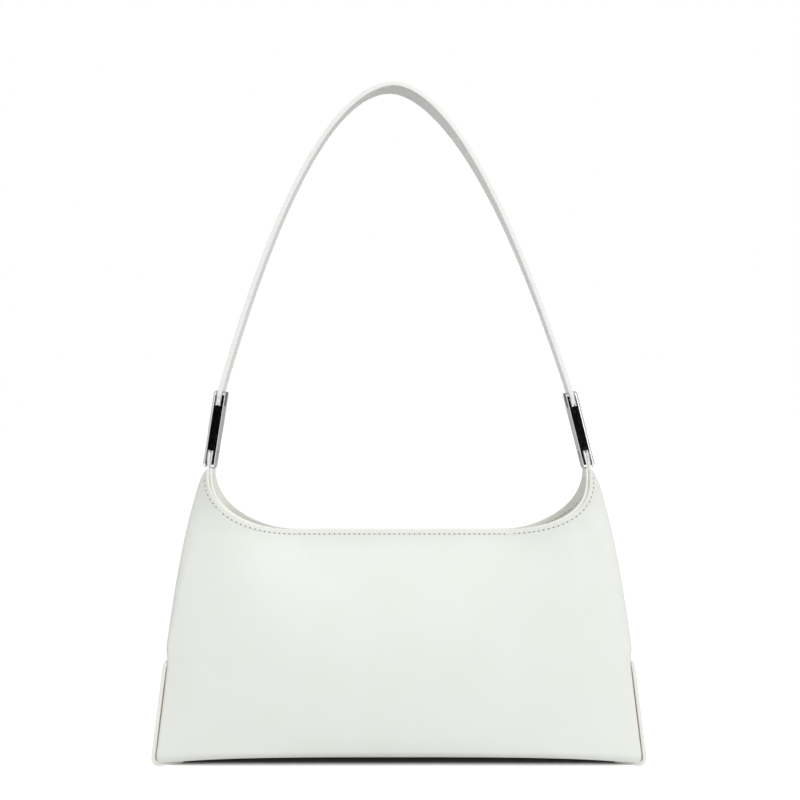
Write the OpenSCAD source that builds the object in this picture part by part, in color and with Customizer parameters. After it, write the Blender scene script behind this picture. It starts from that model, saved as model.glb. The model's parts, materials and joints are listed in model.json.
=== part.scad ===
// Leather shoulder bag with a scooped mouth, two horns, metal links and an arched strap.
// Front faces -Y, the bag stands on z = 0, and x = 0 is the middle of its width.

/* [Body] */
// Width across the side seams at the base
base_w = 293; // [220:1:360]
// How far each side leans in from the base to its horn tip
lean_in = 26.9; // [15:0.1:45]
// Depth of the bag at its fullest, front to back
body_d = 72; // [56:1:90]
// Height of the front edge at the middle of the mouth
rim_h = 138.5; // [110:0.5:155]
// Height of the horn tips
horn_h = 176.4; // [165:0.2:200]
// Width of the straight middle stretch of the mouth
rim_flat_w = 123; // [90:1:150]
// Width of a horn tip, seen from the front
horn_tip_w = 3.9; // [3.9:0.1:6]
// Depth of the closed mouth at its middle, outside to outside
mouth_d = 10.4; // [10.4:0.1:14]
// Radius of the lower corners at the side seams
corner_r = 3.8; // [3:0.1:6]

/* [Leather] */
// Thickness of the shell leather
leather_t = 1.8; // [1.4:0.1:2]
// Thickness of the facing behind the mouth edge
facing_t = 1.3; // [0.9:0.1:1.3]
// Thickness of the lining
lining_t = 0.8; // [0.5:0.1:0.9]
// Thickness of the patches on the lower sides
patch_t = 2.2; // [1.6:0.1:2.6]
// Height of the patches
patch_h = 62; // [45:1:80]
// Length of a patch under the base
patch_foot = 12; // [8:1:20]
// Thickness of the board in the base
board_t = 2; // [1:0.1:3]

/* [Links] */
// Length of a metal link
link_l = 47.3; // [44:0.1:52]
// Width of a link, seen from the front
link_w = 7; // [6.6:0.1:8]
// Depth of a link, front to back
link_d = 15.6; // [15:0.1:16]
// Wall of a link at its sides
link_side_t = 1.5; // [1.2:0.1:1.5]
// Wall of a link at its front and back
link_face_t = 2; // [1.6:0.1:2.4]
// Length of the open fork at the lower end of a link
fork_l = 11; // [9:0.1:12]
// Length of the open fork at the upper end of a link
fork_top_l = 8; // [6:0.1:9]
// Depth of a fork's prong, front to back
prong_d = 3.4; // [3:0.1:5]
// Diameter of the cross pins
pin_dia = 1.6; // [1.2:0.1:1.6]
// Lean of the left link from upright, in degrees
left_angle = 8.8; // [7:0.1:11]
// Lean of the right link from upright, in degrees
right_angle = 14; // [9:0.1:15]

/* [Strap] */
// Height of the top of the strap
strap_top_h = 415.9; // [380:0.1:450]
// Width of the strap at its top
strap_w = 21; // [15:0.5:24]
// Width of the strap where it meets a link
strap_end_w = 14.6; // [12:0.1:14.8]
// Thickness of one ply of the strap
strap_ply_t = 1.3; // [1:0.1:1.3]
// How far the top of the strap hangs to the left
strap_sway = 4.1; // [0:0.1:8]
// Twist of the strap beside its top, in degrees
twist_angle = 4.5; // [0:0.1:8]
// How far both links hang to the left in their loops
handle_shift = 0.6; // [0:0.1:0.8]

/* [Fittings] */
// Diameter of the hidden magnetic snap
snap_dia = 10; // [8:1:12]
// Distance of the snap's middle below the front edge
snap_drop = 7; // [6.5:0.5:8.5]
// Width of the inner pocket
pocket_w = 118; // [80:1:140]

/* [Hidden] */

ply_gap = 0.2;         // air between two plies that lie together
lining_gap = 0.5;      // air behind the loose lining
seam_gap = 0.2;        // air where two edges butt
run_gap = 0.3;         // room round what swings or slides
cut_over = 1;          // overrun of a cut past its face
bore_gap = 0.05;       // radial room of a pin in its bore
binding_t = 1.5;       // thickness of the pocket binding
tip_round = 2.6;       // radius of a link's corners, seen from the side
edge_round = 1.4;      // radius of a link's long edges
ply_skive_t = 0.95;    // leather thickness where it wraps a pin
fold_l = 8;            // length of the strap's folded end above a link
snap_gap = 0.1;        // gap between the snap's closed halves
base_arch = 0.9;       // rise of the base at its middle
bulge_low = 3.5;       // swell of the panels beside their corners
bulge_mid = 5;         // further swell at half height
pin_wall = 0.6;        // metal between a pin's bore and the open fork

half_base = base_w / 2;
half_horn = half_base - lean_in;
snap_h = rim_h - snap_drop;
half_d = body_d / 2;
half_flat = rim_flat_w / 2;
seam_z = patch_t + ply_gap;
corner_z = seam_z + corner_r;
pin_r = pin_dia / 2;

// Depth of the closed middle of the bag, as shares of the rim height and of the half depth.
middle_shares = [
    [0, 0.94], [0.11, 1], [0.32, 0.94], [0.55, 0.78], [0.72, 0.56], [0.85, 0.33],
    [0.92, 0.2], [0.96, 0.155], [1, 0.144]
];
rim_share = middle_shares[len(middle_shares) - 1][1];
// Depth of the side seams, as shares of the horn height and of the half depth.
tip_share = 0.222;
side_shares = [
    [0, 0.9], [0.34, 0.61], [0.68, 0.4], [0.85, 0.315], [0.935, 0.26], [1, tip_share]
];
// Share of the side's taper that is even, and the power by which the rest closes near the horns.
even_taper_share = 0.6;
taper_power = 4;
// Share of the mouth's half width, and of its height, at which the closed middle opens out low down.
low_flare_share = 0.25;
flare_from_share = 0.6;
// Power by which the panels' swell fades towards the side seams.
swell_power = 5;
// Stretches of the top edge, from the middle to the tip, as shares of the half width.
flat_share = 0.42;
scoop_share = 0.95;
corner_share = 0.955;
rim_power = 2.2;
// Power by which the rows of a front piece crowd towards the mouth.
crowd_power = 1.35;

lower_pin = fork_l + pin_wall + pin_r;
upper_pin = link_l - fork_top_l - pin_wall - pin_r;
link_hollow_w = link_w - 2 * link_side_t;
link_hollow_d = link_d - 2 * link_face_t;
tab_w = link_hollow_d - 2 * seam_gap;
tab_t = link_hollow_w - 2 * seam_gap;
pin_seat_l = link_d - link_face_t;
// Reach of a fork's corner about its pin, and the height of the pin that keeps it off the horn.
sweep_r = norm([lower_pin, link_d / 2]) - tip_round * (sqrt(2) - 1) + run_gap;
tip_inner_y = half_d * tip_share - leather_t;
pin_z = horn_h + sqrt(pow(sweep_r + run_gap, 2) - pow(tip_inner_y, 2));
// A pin lies over the middle of its horn tip, drawn in by the lean of its link.
pin_shift_share = 0.04;
half_pin = half_horn - horn_tip_w / 2 - link_l * pin_shift_share;

// Smooth curve through a table, with a tangent taken from the neighbours of each point.
function secant(t, i, j) = (t[j][1] - t[i][1]) / (t[j][0] - t[i][0]);
function tangent(t, i) = secant(t, max(i - 1, 0), min(i + 1, len(t) - 1));
function span_of(t, s, i = 0) = i >= len(t) - 2 || s < t[i + 1][0] ? i : span_of(t, s, i + 1);
function hermite(a, b, ta, tb, w, k) =
    a * (2 * k * k * k - 3 * k * k + 1) + b * (3 * k * k - 2 * k * k * k)
    + w * (ta * (k * k * k - 2 * k * k + k) + tb * (k * k * k - k * k));
function curve(t, s) =
    let (i = span_of(t, s), w = t[i + 1][0] - t[i][0], k = (s - t[i][0]) / w)
    hermite(t[i][1], t[i + 1][1], tangent(t, i), tangent(t, i + 1), w, k);
function clamp(s) = min(max(s, 0), 1);
function ease(s) = let (k = clamp(s)) k * k * (3 - 2 * k);
function mix(a, b, k) = a + (b - a) * k;

// Half width at the side seam: a straight taper that closes faster near the horns.
function side_x(z) =
    let (k = z / horn_h)
    half_base - (half_base - half_horn) * mix(pow(k, taper_power), k, even_taper_share);
function side_y(z) = half_d * curve(side_shares, clamp(z / horn_h));
function swell(z) = bulge_low + bulge_mid * sin(180 * clamp(z / rim_h));
function middle_y(z) = mouth_d / 2 + (half_d - mouth_d / 2) *
    (curve(middle_shares, clamp(z / rim_h)) - rim_share) / (1 - rim_share);
// Where the closed middle starts to open out to the sides, further in lower down.
function flare_x(z) = half_flat *
    mix(low_flare_share, 1, ease((z / rim_h - flare_from_share) / (1 - flare_from_share)));
// Half depth of the bag's outside at a place on its front.
function depth(x, z) =
    mix(
        middle_y(z),
        side_y(z) + swell(z) * (1 - pow(clamp(abs(x) / side_x(z)), swell_power)),
        ease((abs(x) - flare_x(z)) / (half_horn - mouth_d - flare_x(z)))
    );

// Top edge of the front, for u from 0 in the middle to 1 at the outside of the horn.
function top_edge(u) =
    let (
        scoop_w = half_horn - horn_tip_w - half_flat,
        scoop_h = horn_h - rim_h,
        turn = 90 * (u - flat_share) / (scoop_share - flat_share)
    )
    u <= flat_share ? [half_flat * u / flat_share, rim_h]
    : u <= scoop_share ? [
        half_flat + scoop_w * pow(sin(turn), 2 / rim_power),
        horn_h - scoop_h * pow(cos(turn), 2 / rim_power)
    ]
    : [half_horn - horn_tip_w * (1 - u) / (1 - scoop_share), horn_h];
// Bottom edge of the front, arched a little and turned up round the side seam's corner.
function low_edge(u) =
    let (
        corner_x = side_x(corner_z) - corner_r,
        turn = 90 * (u - corner_share) / (1 - corner_share)
    )
    u <= corner_share
    ? [corner_x * u / corner_share, seam_z + base_arch * (1 - pow(u / corner_share, 2))]
    : [corner_x + corner_r * sin(turn), corner_z - corner_r * cos(turn)];
// Place on the front for u across and v up, with the side line bent to the seam.
function place(u, v) =
    let (
        low = low_edge(abs(u)),
        top = top_edge(abs(u)),
        side_z = mix(corner_z, horn_h, v),
        bend = side_x(side_z) - mix(side_x(corner_z), half_horn, v),
        x = mix(low.x, top.x, v) + bend * pow(abs(u), 3)
    )
    [sign(u) * x, mix(low.y, top.y, v)];
function front_point(u, v, inset) =
    let (p = place(u, v))
    [p.x, inset - depth(p.x, p.y), p.y];

// Closed slab between two grids of points, the first on the side that faces out.
function at(row, col, cols) = row * cols + col;
function quad(a, b, c, d) = [[a, b, c], [a, c, d]];
module slab(outer, inner) {
    rows = len(outer);
    cols = len(outer[0]);
    n = rows * cols;
    points = [for (grid = [outer, inner]) for (row = grid) for (p = row) p];
    skin = [
        for (r = [0:rows - 2]) for (c = [0:cols - 2])
            let (a = at(r, c, cols), b = a + 1, d = a + cols, e = d + 1)
            each concat(quad(a, b, e, d), quad(n + d, n + e, n + b, n + a))
    ];
    ends = [
        for (c = [0:cols - 2])
            let (a = c, t = at(rows - 1, c, cols))
            each concat(quad(a + 1, a, n + a, n + a + 1), quad(t, t + 1, n + t + 1, n + t))
    ];
    sides = [
        for (r = [0:rows - 2])
            let (a = at(r, 0, cols), b = at(r, cols - 1, cols))
            each concat(quad(a, a + cols, n + a + cols, n + a), quad(b + cols, b, n + b, n + b + cols))
    ];
    polyhedron(points, [for (f = concat(skin, ends, sides)) [f[2], f[1], f[0]]], convexity = 8);
}

function steps(from, to, count) = [for (i = [0:count]) mix(from, to, i / count)];
function drop_first(list) = [for (i = [1:len(list) - 1]) list[i]];
function both_ways(list) = concat([for (i = [len(list) - 1:-1:1]) -list[i]], list);
// Places across a front piece, closer together where its edge turns.
function across(limit, flats, turns) = both_ways(
    limit <= flat_share ? steps(0, limit, flats)
    : limit <= scoop_share
    ? concat(steps(0, flat_share, flats), drop_first(steps(flat_share, limit, turns)))
    : concat(
        steps(0, flat_share, flats),
        drop_first(steps(flat_share, scoop_share, turns)),
        drop_first(steps(corner_share, limit, 4))
    )
);
// Places up a front piece, closer together towards the mouth.
function upward(low, high, count) =
    [for (s = steps(0, 1, count)) mix(high, low, pow(1 - s, crowd_power))];
module front_sheet(us, vs, inset, thick) {
    slab(
        [for (v = vs) [for (u = us) front_point(u, v, inset)]],
        [for (v = vs) [for (u = us) front_point(u, v, inset + thick)]]
    );
}
module at_back() {
    mirror([0, 1, 0]) children();
}
module at_left() {
    mirror([1, 0, 0]) children();
}

// Line of the right side from under the base, round the corner and up, moved out by a distance.
function corner_line(off) = [
    for (turn = [0:18:90])
        [side_x(corner_z) - corner_r + (corner_r + off) * sin(turn), corner_z - (corner_r + off) * cos(turn)]
];
function foot_line(off, reach) = [[side_x(corner_z) - corner_r - reach, corner_z - corner_r - off]];
function leg_line(off, low, high, count) =
    [for (z = steps(low, high, count)) [side_x(z) + off, z]];
// Lowest height at which a point of a horn clears the swinging link.
function horn_top(y) = pin_z - sqrt(max(pow(sweep_r + run_gap, 2) - y * y, 0));
function lifted(line, y, from_z) = [
    for (p = line)
        let (top = line[len(line) - 1].y, k = clamp((p.y - from_z) / (top - from_z)))
        [p.x, p.y + k * (horn_top(y) - top)]
];
module side_sheet(outer, inner, inset, lift_from = horn_h, cols = 6) {
    ys = steps(-1, 1, cols);
    grid = function(line) [
        for (i = [0:len(line) - 1])
            [for (s = ys)
                let (
                    y = s * (side_y(line[i].y) - inset),
                    p = lift_from < horn_h ? lifted(line, y, lift_from)[i] : line[i]
                )
                [p.x, y, p.y]
            ]
    ];
    slab(grid(outer), grid(inner));
}

// Outer shell
module front_panel() {
    color("whitesmoke") front_sheet(across(1, 3, 12), upward(0, 1, 17), 0, leather_t);
}
module back_panel() {
    color("whitesmoke") at_back() front_sheet(across(1, 3, 12), upward(0, 1, 17), 0, leather_t);
}
module gusset() {
    top = horn_top(0);
    outer = concat(
        foot_line(0, seam_gap), corner_line(0), leg_line(0, corner_z * 2, top, 14)
    );
    inner = concat(
        foot_line(-leather_t, seam_gap), corner_line(-leather_t),
        leg_line(-leather_t, corner_z * 2, top, 14)
    );
    color("gainsboro") side_sheet(outer, inner, leather_t + 2 * ply_gap, rim_h);
}
module left_gusset() {
    at_left() gusset();
}
module right_gusset() {
    gusset();
}
// Flat piece over the base, between the front and back panels.
function base_point(x, s, z, inset) = let (rise = base_arch * (1 - pow(x / side_x(0), 2)))
    [x, s * (depth(x, z + rise) - inset), z + rise];
base_reach = side_x(corner_z) - corner_r - 2 * seam_gap;
module base_sheet(reach, z, thick, inset) {
    xs = steps(-reach, reach, 12);
    slab(
        [for (x = xs) [for (s = [-1:1:1]) base_point(x, s, z, inset)]],
        [for (x = xs) [for (s = [-1:1:1]) base_point(x, s, z + thick, inset)]]
    );
}
module base_panel() {
    color("gainsboro") base_sheet(base_reach, seam_z, leather_t, leather_t + ply_gap);
}
module patch() {
    low_z = corner_z * 2;
    full_z = patch_h - patch_t;
    shoulder_t = patch_t * 0.8;
    edge_t = patch_t * 0.35;
    shoulder_z = patch_h - edge_t;
    color("white") side_sheet(
        concat(
            foot_line(ply_gap + patch_t, patch_foot), corner_line(ply_gap + patch_t),
            leg_line(ply_gap + patch_t, low_z, full_z, 6),
            [
                [side_x(shoulder_z) + ply_gap + shoulder_t, shoulder_z],
                [side_x(patch_h) + ply_gap + edge_t, patch_h]
            ]
        ),
        concat(
            foot_line(ply_gap, patch_foot), corner_line(ply_gap),
            leg_line(ply_gap, low_z, full_z, 6),
            leg_line(ply_gap, shoulder_z, patch_h, 1)
        ),
        0, horn_h, 4
    );
}
module left_side_patch() {
    at_left() patch();
}
module right_side_patch() {
    patch();
}

// Facings behind the mouth edge, and the plies of the tabs
facing_low_share = 0.83;
facing_side_share = 0.94;
facing_in = leather_t + ply_gap;
module front_facing() {
    color("silver")
        front_sheet(across(facing_side_share, 3, 12), steps(facing_low_share, 1, 5), facing_in, facing_t);
}
module back_facing() {
    at_back() front_facing();
}
tab_facing_low = horn_h - 2 * link_d;
module tab_facing() {
    off = -leather_t - ply_gap;
    thick = horn_tip_w - leather_t - 2 * ply_gap;
    color("silver") side_sheet(
        leg_line(off, tab_facing_low, horn_top(0), 6),
        leg_line(off - thick, tab_facing_low, horn_top(0), 6),
        facing_in + facing_t + ply_gap, rim_h + link_d, 6
    );
}
module left_tab_facing() {
    at_left() tab_facing();
}
module right_tab_facing() {
    tab_facing();
}

// Frame of a link: its lower end at the origin, its length along Z, outward +X.
module in_link(side, lean) {
    translate([side * half_pin - handle_shift, 0, pin_z])
        mirror([side < 0 ? 1 : 0, 0, 0])
            rotate([0, -lean, 0])
                translate([0, 0, -lower_pin]) children();
}
module rounded(w, h, r) {
    square([w - 2 * r, h], center = true);
    square([w, h - 2 * r], center = true);
    for (x = [-1, 1], y = [-1, 1])
        translate([x * (w / 2 - r), y * (h / 2 - r)]) circle(r = r, $fn = 32);
}
module across_y(width) {
    rotate([90, 0, 0]) linear_extrude(width, center = true) children();
}
// Leather loop that joins a horn to its link, cut clear of the swinging fork's path.
module tab_loop(side, lean) {
    wrap_r = tab_t / 2;
    foot = sweep_r + 2 * run_gap;
    split_r = pin_r * 0.8;
    split_l = foot * 0.8;
    color("white") intersection() {
        in_link(side, lean) across_y(tab_w) difference() {
            union() {
                translate([-wrap_r, lower_pin - foot]) square([tab_t, foot]);
                translate([0, lower_pin]) circle(r = wrap_r, $fn = 48);
            }
            translate([0, lower_pin]) circle(r = pin_r + 2 * bore_gap, $fn = 48);
            polygon([
                [-split_r, lower_pin], [split_r, lower_pin],
                [bore_gap, lower_pin - split_l], [-bore_gap, lower_pin - split_l]
            ]);
        }
        translate([0, 0, pin_z]) rotate([0, 90, 0])
            cylinder(r = sweep_r + run_gap - seam_gap / 2, h = base_w, center = true, $fn = 96);
    }
}
module left_tab_loop() {
    tab_loop(-1, left_angle);
}
module right_tab_loop() {
    tab_loop(1, right_angle);
}

// Lining, board, pocket and snap
lining_in = leather_t + lining_gap;
lining_low_share = 0.05;
lining_high_share = 0.825;
lining_side_share = 0.95;
module lining_front() {
    color("tan") front_sheet(
        across(lining_side_share, 3, 5),
        upward(lining_low_share, lining_high_share, 12), lining_in, lining_t
    );
}
module lining_back() {
    at_back() lining_front();
}
module lining_side() {
    off = -leather_t - lining_gap;
    low = corner_z + board_t + leather_t;
    high = tab_facing_low - seam_gap;
    color("tan") side_sheet(
        leg_line(off, low, high, 6), leg_line(off - lining_t, low, high, 6), lining_in, horn_h, 4
    );
}
module lining_left() {
    at_left() lining_side();
}
module lining_right() {
    lining_side();
}
board_z = seam_z + leather_t + seam_gap;
floor_z = board_z + board_t + seam_gap;
module base_board() {
    color("tan") base_sheet(base_reach - leather_t, board_z, board_t, lining_in);
}
module lining_base() {
    color("tan") base_sheet(base_reach - leather_t, floor_z, lining_t, lining_in);
}
pocket_in = lining_in + lining_t + 2 * run_gap;
pocket_low_share = 0.16;
pocket_high_share = 0.56;
// The front is wider below the mouth, so a pocket of that width takes a smaller share.
pocket_fit_share = 0.94;
pocket_side_share = flat_share * pocket_w / rim_flat_w * pocket_fit_share;
binding_share = 0.05;
module inner_pocket() {
    color("burlywood") at_back() front_sheet(
        across(pocket_side_share, 4, 0),
        steps(pocket_low_share, pocket_high_share, 6), pocket_in, lining_t
    );
}
module pocket_binding() {
    step_share = seam_gap / rim_h;
    color("white") at_back() front_sheet(
        across(pocket_side_share, 4, 0),
        steps(pocket_high_share + step_share, pocket_high_share + binding_share, 1),
        pocket_in - run_gap / 3, binding_t
    );
}
snap_back = middle_y(snap_h + snap_dia / 2) - facing_in - facing_t - ply_gap;
module snap_half() {
    color("silver") translate([0, -snap_back, snap_h]) rotate([-90, 0, 0])
        cylinder(d = snap_dia, h = snap_back - snap_gap / 2, $fn = 48);
}
module snap_socket() {
    snap_half();
}
module snap_stud() {
    at_back() snap_half();
}

// Metal links and their pins
module link(side, lean) {
    color("silver") in_link(side, lean) difference() {
        intersection() {
            linear_extrude(link_l) rounded(link_w, link_d, edge_round);
            translate([0, 0, link_l / 2]) rotate([90, 0, 90])
                linear_extrude(link_w, center = true) rounded(link_d, link_l, tip_round);
        }
        translate([-link_hollow_w / 2, -link_hollow_d / 2, -cut_over])
            cube([link_hollow_w, link_hollow_d, link_l + 2 * cut_over]);
        translate([-link_hollow_w / 2, -link_d, -cut_over])
            cube([link_hollow_w, 2 * link_d, fork_l + cut_over]);
        translate([-link_hollow_w / 2, -link_d, link_l - fork_top_l])
            cube([link_hollow_w, 2 * link_d, fork_top_l + cut_over]);
        translate([-link_w, prong_d - link_d / 2, -cut_over])
            cube([2 * link_w, link_d - 2 * prong_d, fork_l + cut_over]);
        translate([-link_w, prong_d - link_d / 2, link_l - fork_top_l])
            cube([2 * link_w, link_d - 2 * prong_d, fork_top_l + cut_over]);
        for (z = [lower_pin, upper_pin])
            translate([0, 0, z]) rotate([90, 0, 0])
                cylinder(r = pin_r + bore_gap, h = pin_seat_l, center = true, $fn = 32);
    }
}
module pin(side, lean, z) {
    color("silver") in_link(side, lean) translate([0, 0, z]) rotate([90, 0, 0])
        cylinder(r = pin_r, h = pin_seat_l - bore_gap * 2, center = true, $fn = 32);
}
module left_link() {
    link(-1, left_angle);
}
module right_link() {
    link(1, right_angle);
}
module left_lower_pin() {
    pin(-1, left_angle, lower_pin);
}
module right_lower_pin() {
    pin(1, right_angle, lower_pin);
}
module left_upper_pin() {
    pin(-1, left_angle, upper_pin);
}
module right_upper_pin() {
    pin(1, right_angle, upper_pin);
}

// Strap: a smooth arch from each link's top to the middle, and a fold round each upper pin.
function link_dir(side, lean) = [-side * sin(lean), cos(lean)];
function link_out(side, lean) = [side * cos(lean), sin(lean)];
function in_link_xz(side, lean, x, z) =
    [side * half_pin - handle_shift, pin_z]
    + link_out(side, lean) * x + link_dir(side, lean) * (z - lower_pin);
// The arch drops from its crown by a power of the way out, a little fuller on the right.
power_left = 1.96;
power_right = 1.8;
ply_mid = (strap_ply_t + ply_gap) / 2;
crown = [-strap_sway, strap_top_h - strap_ply_t - ply_gap / 2];
arch_steps = 22;
function arch_mid(side, lean, k) =
    let (
        foot = in_link_xz(side, lean, 0, link_l),
        way = 1 - k,
        power = side < 0 ? power_left : power_right
    )
    [mix(crown.x, foot.x, way), mix(crown.y, foot.y, pow(way, power))];
function unit(p) = p / norm(p);
// Small step along the arch, by which its direction is found.
tick = 0.01;
function arch_point(side, lean, k, off) =
    let (d = unit(arch_mid(side, lean, min(k + tick, 1)) - arch_mid(side, lean, max(k - tick, 0))))
    arch_mid(side, lean, k) + side * [d.y, -d.x] * off;
function strap_half(k) = mix(strap_end_w, strap_w, ease(k)) / 2;
// Share of the full twist: none at the links and the crown, most a little way down from it.
twist_peak = 0.75;
function twist_share(k) = pow(k, 3) * (1 - k) / (pow(twist_peak, 3) * (1 - twist_peak));
// Each ring of a strap is its middle, its half width, its thickness and its twist.
function arch_rings(side, lean, off, from_k) = [
    for (i = [0:arch_steps])
        let (k = mix(from_k, 1, i / arch_steps))
        [arch_point(side, lean, k, off), strap_half(k), strap_ply_t, -side * twist_angle * twist_share(k)]
];
fold_step_share = fold_l / (strap_top_h - horn_h - link_l) / 4;
wrap_mid = pin_r + 2 * bore_gap + ply_skive_t / 2;
function fold_rings(side, lean) = concat(
    [
        for (i = [2:-1:0])
            [arch_point(side, lean, i * fold_step_share, -ply_mid), strap_end_w / 2, strap_ply_t, 0],
        [in_link_xz(side, lean, -wrap_mid, upper_pin + fork_top_l / 4), tab_w / 2, ply_skive_t, 0]
    ],
    [
        for (turn = [0:20:180])
            [
                in_link_xz(side, lean, -wrap_mid * cos(turn), upper_pin - wrap_mid * sin(turn)),
                tab_w / 2, ply_skive_t, 0
            ]
    ],
    [[in_link_xz(side, lean, wrap_mid, upper_pin + fork_top_l / 4), tab_w / 2, ply_skive_t, 0]]
);
function reversed(list) = [for (i = [len(list) - 1:-1:0]) list[i]];
// Ribbon along rings, square to their line.
module ribbon(rings) {
    last = len(rings) - 1;
    edge = function(i, s)
        let (
            d = unit(rings[min(i + 1, last)][0] - rings[max(i - 1, 0)][0]),
            out = [-d.y, d.x],
            p = rings[i][0] + s * rings[i][2] / 2 * out,
            h = rings[i][1] * cos(rings[i][3]),
            t = rings[i][1] * sin(rings[i][3]) * out
        )
        [[p.x - t.x, -h, p.y - t.y], [p.x + t.x, h, p.y + t.y]];
    slab([for (i = [0:last]) edge(i, 1)], [for (i = [0:last]) edge(i, -1)]);
}
module strap_outer() {
    color("white") ribbon(
        concat(
            fold_rings(-1, left_angle),
            arch_rings(-1, left_angle, ply_mid, 0),
            drop_first(reversed(arch_rings(1, right_angle, ply_mid, 0))),
            reversed(fold_rings(1, right_angle))
        )
    );
}
inner_from_share = 2 * fold_step_share + seam_gap / strap_top_h;
module strap_inner() {
    color("silver") ribbon(
        concat(
            arch_rings(-1, left_angle, -ply_mid, inner_from_share),
            drop_first(reversed(arch_rings(1, right_angle, -ply_mid, inner_from_share)))
        )
    );
}

front_panel();
back_panel();
left_gusset();
right_gusset();
base_panel();
left_side_patch();
right_side_patch();
front_facing();
back_facing();
left_tab_facing();
right_tab_facing();
left_tab_loop();
right_tab_loop();
lining_front();
lining_back();
lining_left();
lining_right();
lining_base();
base_board();
inner_pocket();
pocket_binding();
snap_socket();
snap_stud();
left_link();
right_link();
left_lower_pin();
right_lower_pin();
left_upper_pin();
right_upper_pin();
strap_outer();
strap_inner();
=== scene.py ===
"""Dressed model of a small leather shoulder bag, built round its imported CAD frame.

Sizes are in millimetres, as a leather worker gives them, and meshes and the studio are in metres.
The front faces -Y, the bag stands on z = 0, and x = 0 is the middle of its width.
"""

import json
import logging
import math
from dataclasses import dataclass, field, replace
from enum import Enum
from typing import Any, Callable, Sequence

import bpy
from mathutils import Matrix, Vector

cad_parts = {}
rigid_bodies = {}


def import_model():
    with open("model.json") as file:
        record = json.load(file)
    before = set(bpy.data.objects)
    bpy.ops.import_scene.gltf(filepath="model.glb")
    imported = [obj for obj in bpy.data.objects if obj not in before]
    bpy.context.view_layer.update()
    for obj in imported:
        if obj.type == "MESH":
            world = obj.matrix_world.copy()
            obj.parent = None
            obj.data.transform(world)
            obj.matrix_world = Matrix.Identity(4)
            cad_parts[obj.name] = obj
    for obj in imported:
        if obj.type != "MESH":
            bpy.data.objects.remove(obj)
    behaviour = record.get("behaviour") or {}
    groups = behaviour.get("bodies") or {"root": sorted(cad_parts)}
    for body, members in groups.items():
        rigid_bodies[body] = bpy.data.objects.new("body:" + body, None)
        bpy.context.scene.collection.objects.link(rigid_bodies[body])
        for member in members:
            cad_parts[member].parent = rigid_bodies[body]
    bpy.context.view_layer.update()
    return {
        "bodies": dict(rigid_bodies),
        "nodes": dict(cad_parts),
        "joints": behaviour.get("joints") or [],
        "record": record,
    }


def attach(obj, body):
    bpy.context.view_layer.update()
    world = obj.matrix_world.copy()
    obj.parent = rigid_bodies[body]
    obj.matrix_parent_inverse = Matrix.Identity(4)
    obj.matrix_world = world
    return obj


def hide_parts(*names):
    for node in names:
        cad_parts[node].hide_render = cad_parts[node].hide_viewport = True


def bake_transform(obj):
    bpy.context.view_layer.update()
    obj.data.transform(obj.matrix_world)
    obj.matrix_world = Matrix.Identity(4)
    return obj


LOG = logging.getLogger("handbag")
MM = 0.001
QUARTER = math.pi / 2
Piece = bpy.types.Object
Material = bpy.types.Material
Tree = bpy.types.NodeTree
Table = Sequence[tuple[float, float]]
Place = Callable[[float, float], Vector]
SIDES = ((1, "right"), (-1, "left"))
# Angles of the rings in a fold of leather round a pin.
FOLD_ANGLES = [math.pi * i / 12 for i in range(1, 12)]


# Small tools.


def clamp(value: float) -> float:
    """Returns value held between 0 and 1."""
    return min(max(value, 0.0), 1.0)


def mix(first: float, last: float, share: float) -> float:
    """Returns the number that lies at share of the way from first to last."""
    return first + (last - first) * share


def ease(share: float) -> float:
    """Returns a share that starts and ends softly."""
    held = clamp(share)
    return held * held * (3 - 2 * held)


def smooth_table(table: Table, place: float) -> float:
    """Reads a table with a smooth curve through its points.

    Args:
        table: Pairs of place and value, in rising order of place.
        place: Where to read it.

    Returns:
        The value there.
    """
    last = len(table) - 1
    span = 0
    while span < last - 1 and place >= table[span + 1][0]:
        span += 1

    def slope(at: int) -> float:
        """Returns the curve's slope at one of the table's points."""
        before, after = table[max(at - 1, 0)], table[min(at + 1, last)]
        return (after[1] - before[1]) / (after[0] - before[0])

    (x0, y0), (x1, y1) = table[span], table[span + 1]
    width = x1 - x0
    k = (place - x0) / width
    return (
        y0 * (2 * k**3 - 3 * k**2 + 1)
        + y1 * (3 * k**2 - 2 * k**3)
        + width * (slope(span) * (k**3 - 2 * k**2 + k) + slope(span + 1) * (k**3 - k**2))
    )


def linear_colour(hex_value: str) -> tuple[float, float, float, float]:
    """Turns an sRGB hex colour, such as #A0B0C0, into Blender's linear one with an alpha of 1."""
    parts = [int(hex_value[i : i + 2], 16) / 255 for i in (1, 3, 5)]
    lit = [c / 12.92 if c <= 0.04045 else ((c + 0.055) / 1.055) ** 2.4 for c in parts]
    return (lit[0], lit[1], lit[2], 1.0)


def primitive(name: str, add: Callable[..., Any], **settings: Any) -> Piece:
    """Adds an object with nothing else selected.

    Args:
        name: Name of the new object.
        add: The operator that adds it.
        settings: The operator's settings.

    Returns:
        The new object.
    """
    bpy.ops.object.select_all(action="DESELECT")
    add(**settings)
    obj = bpy.context.object
    obj.name = obj.data.name = name
    return obj


def pick(obj: Piece) -> None:
    """Deselects everything, then selects obj and makes it active."""
    bpy.ops.object.select_all(action="DESELECT")
    obj.select_set(True)
    bpy.context.view_layer.objects.active = obj


def apply_modifier(obj: Piece, kind: str, **settings: Any) -> Piece:
    """Adds one modifier to obj and applies it.

    Args:
        obj: The mesh object.
        kind: Blender's name of the modifier's type.
        settings: Its settings by name.

    Returns:
        The same object.
    """
    pick(obj)
    modifier = obj.modifiers.new(kind.title(), kind)
    for name, value in settings.items():
        setattr(modifier, name, value)
    bpy.ops.object.modifier_apply(modifier=modifier.name)
    return obj


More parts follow.
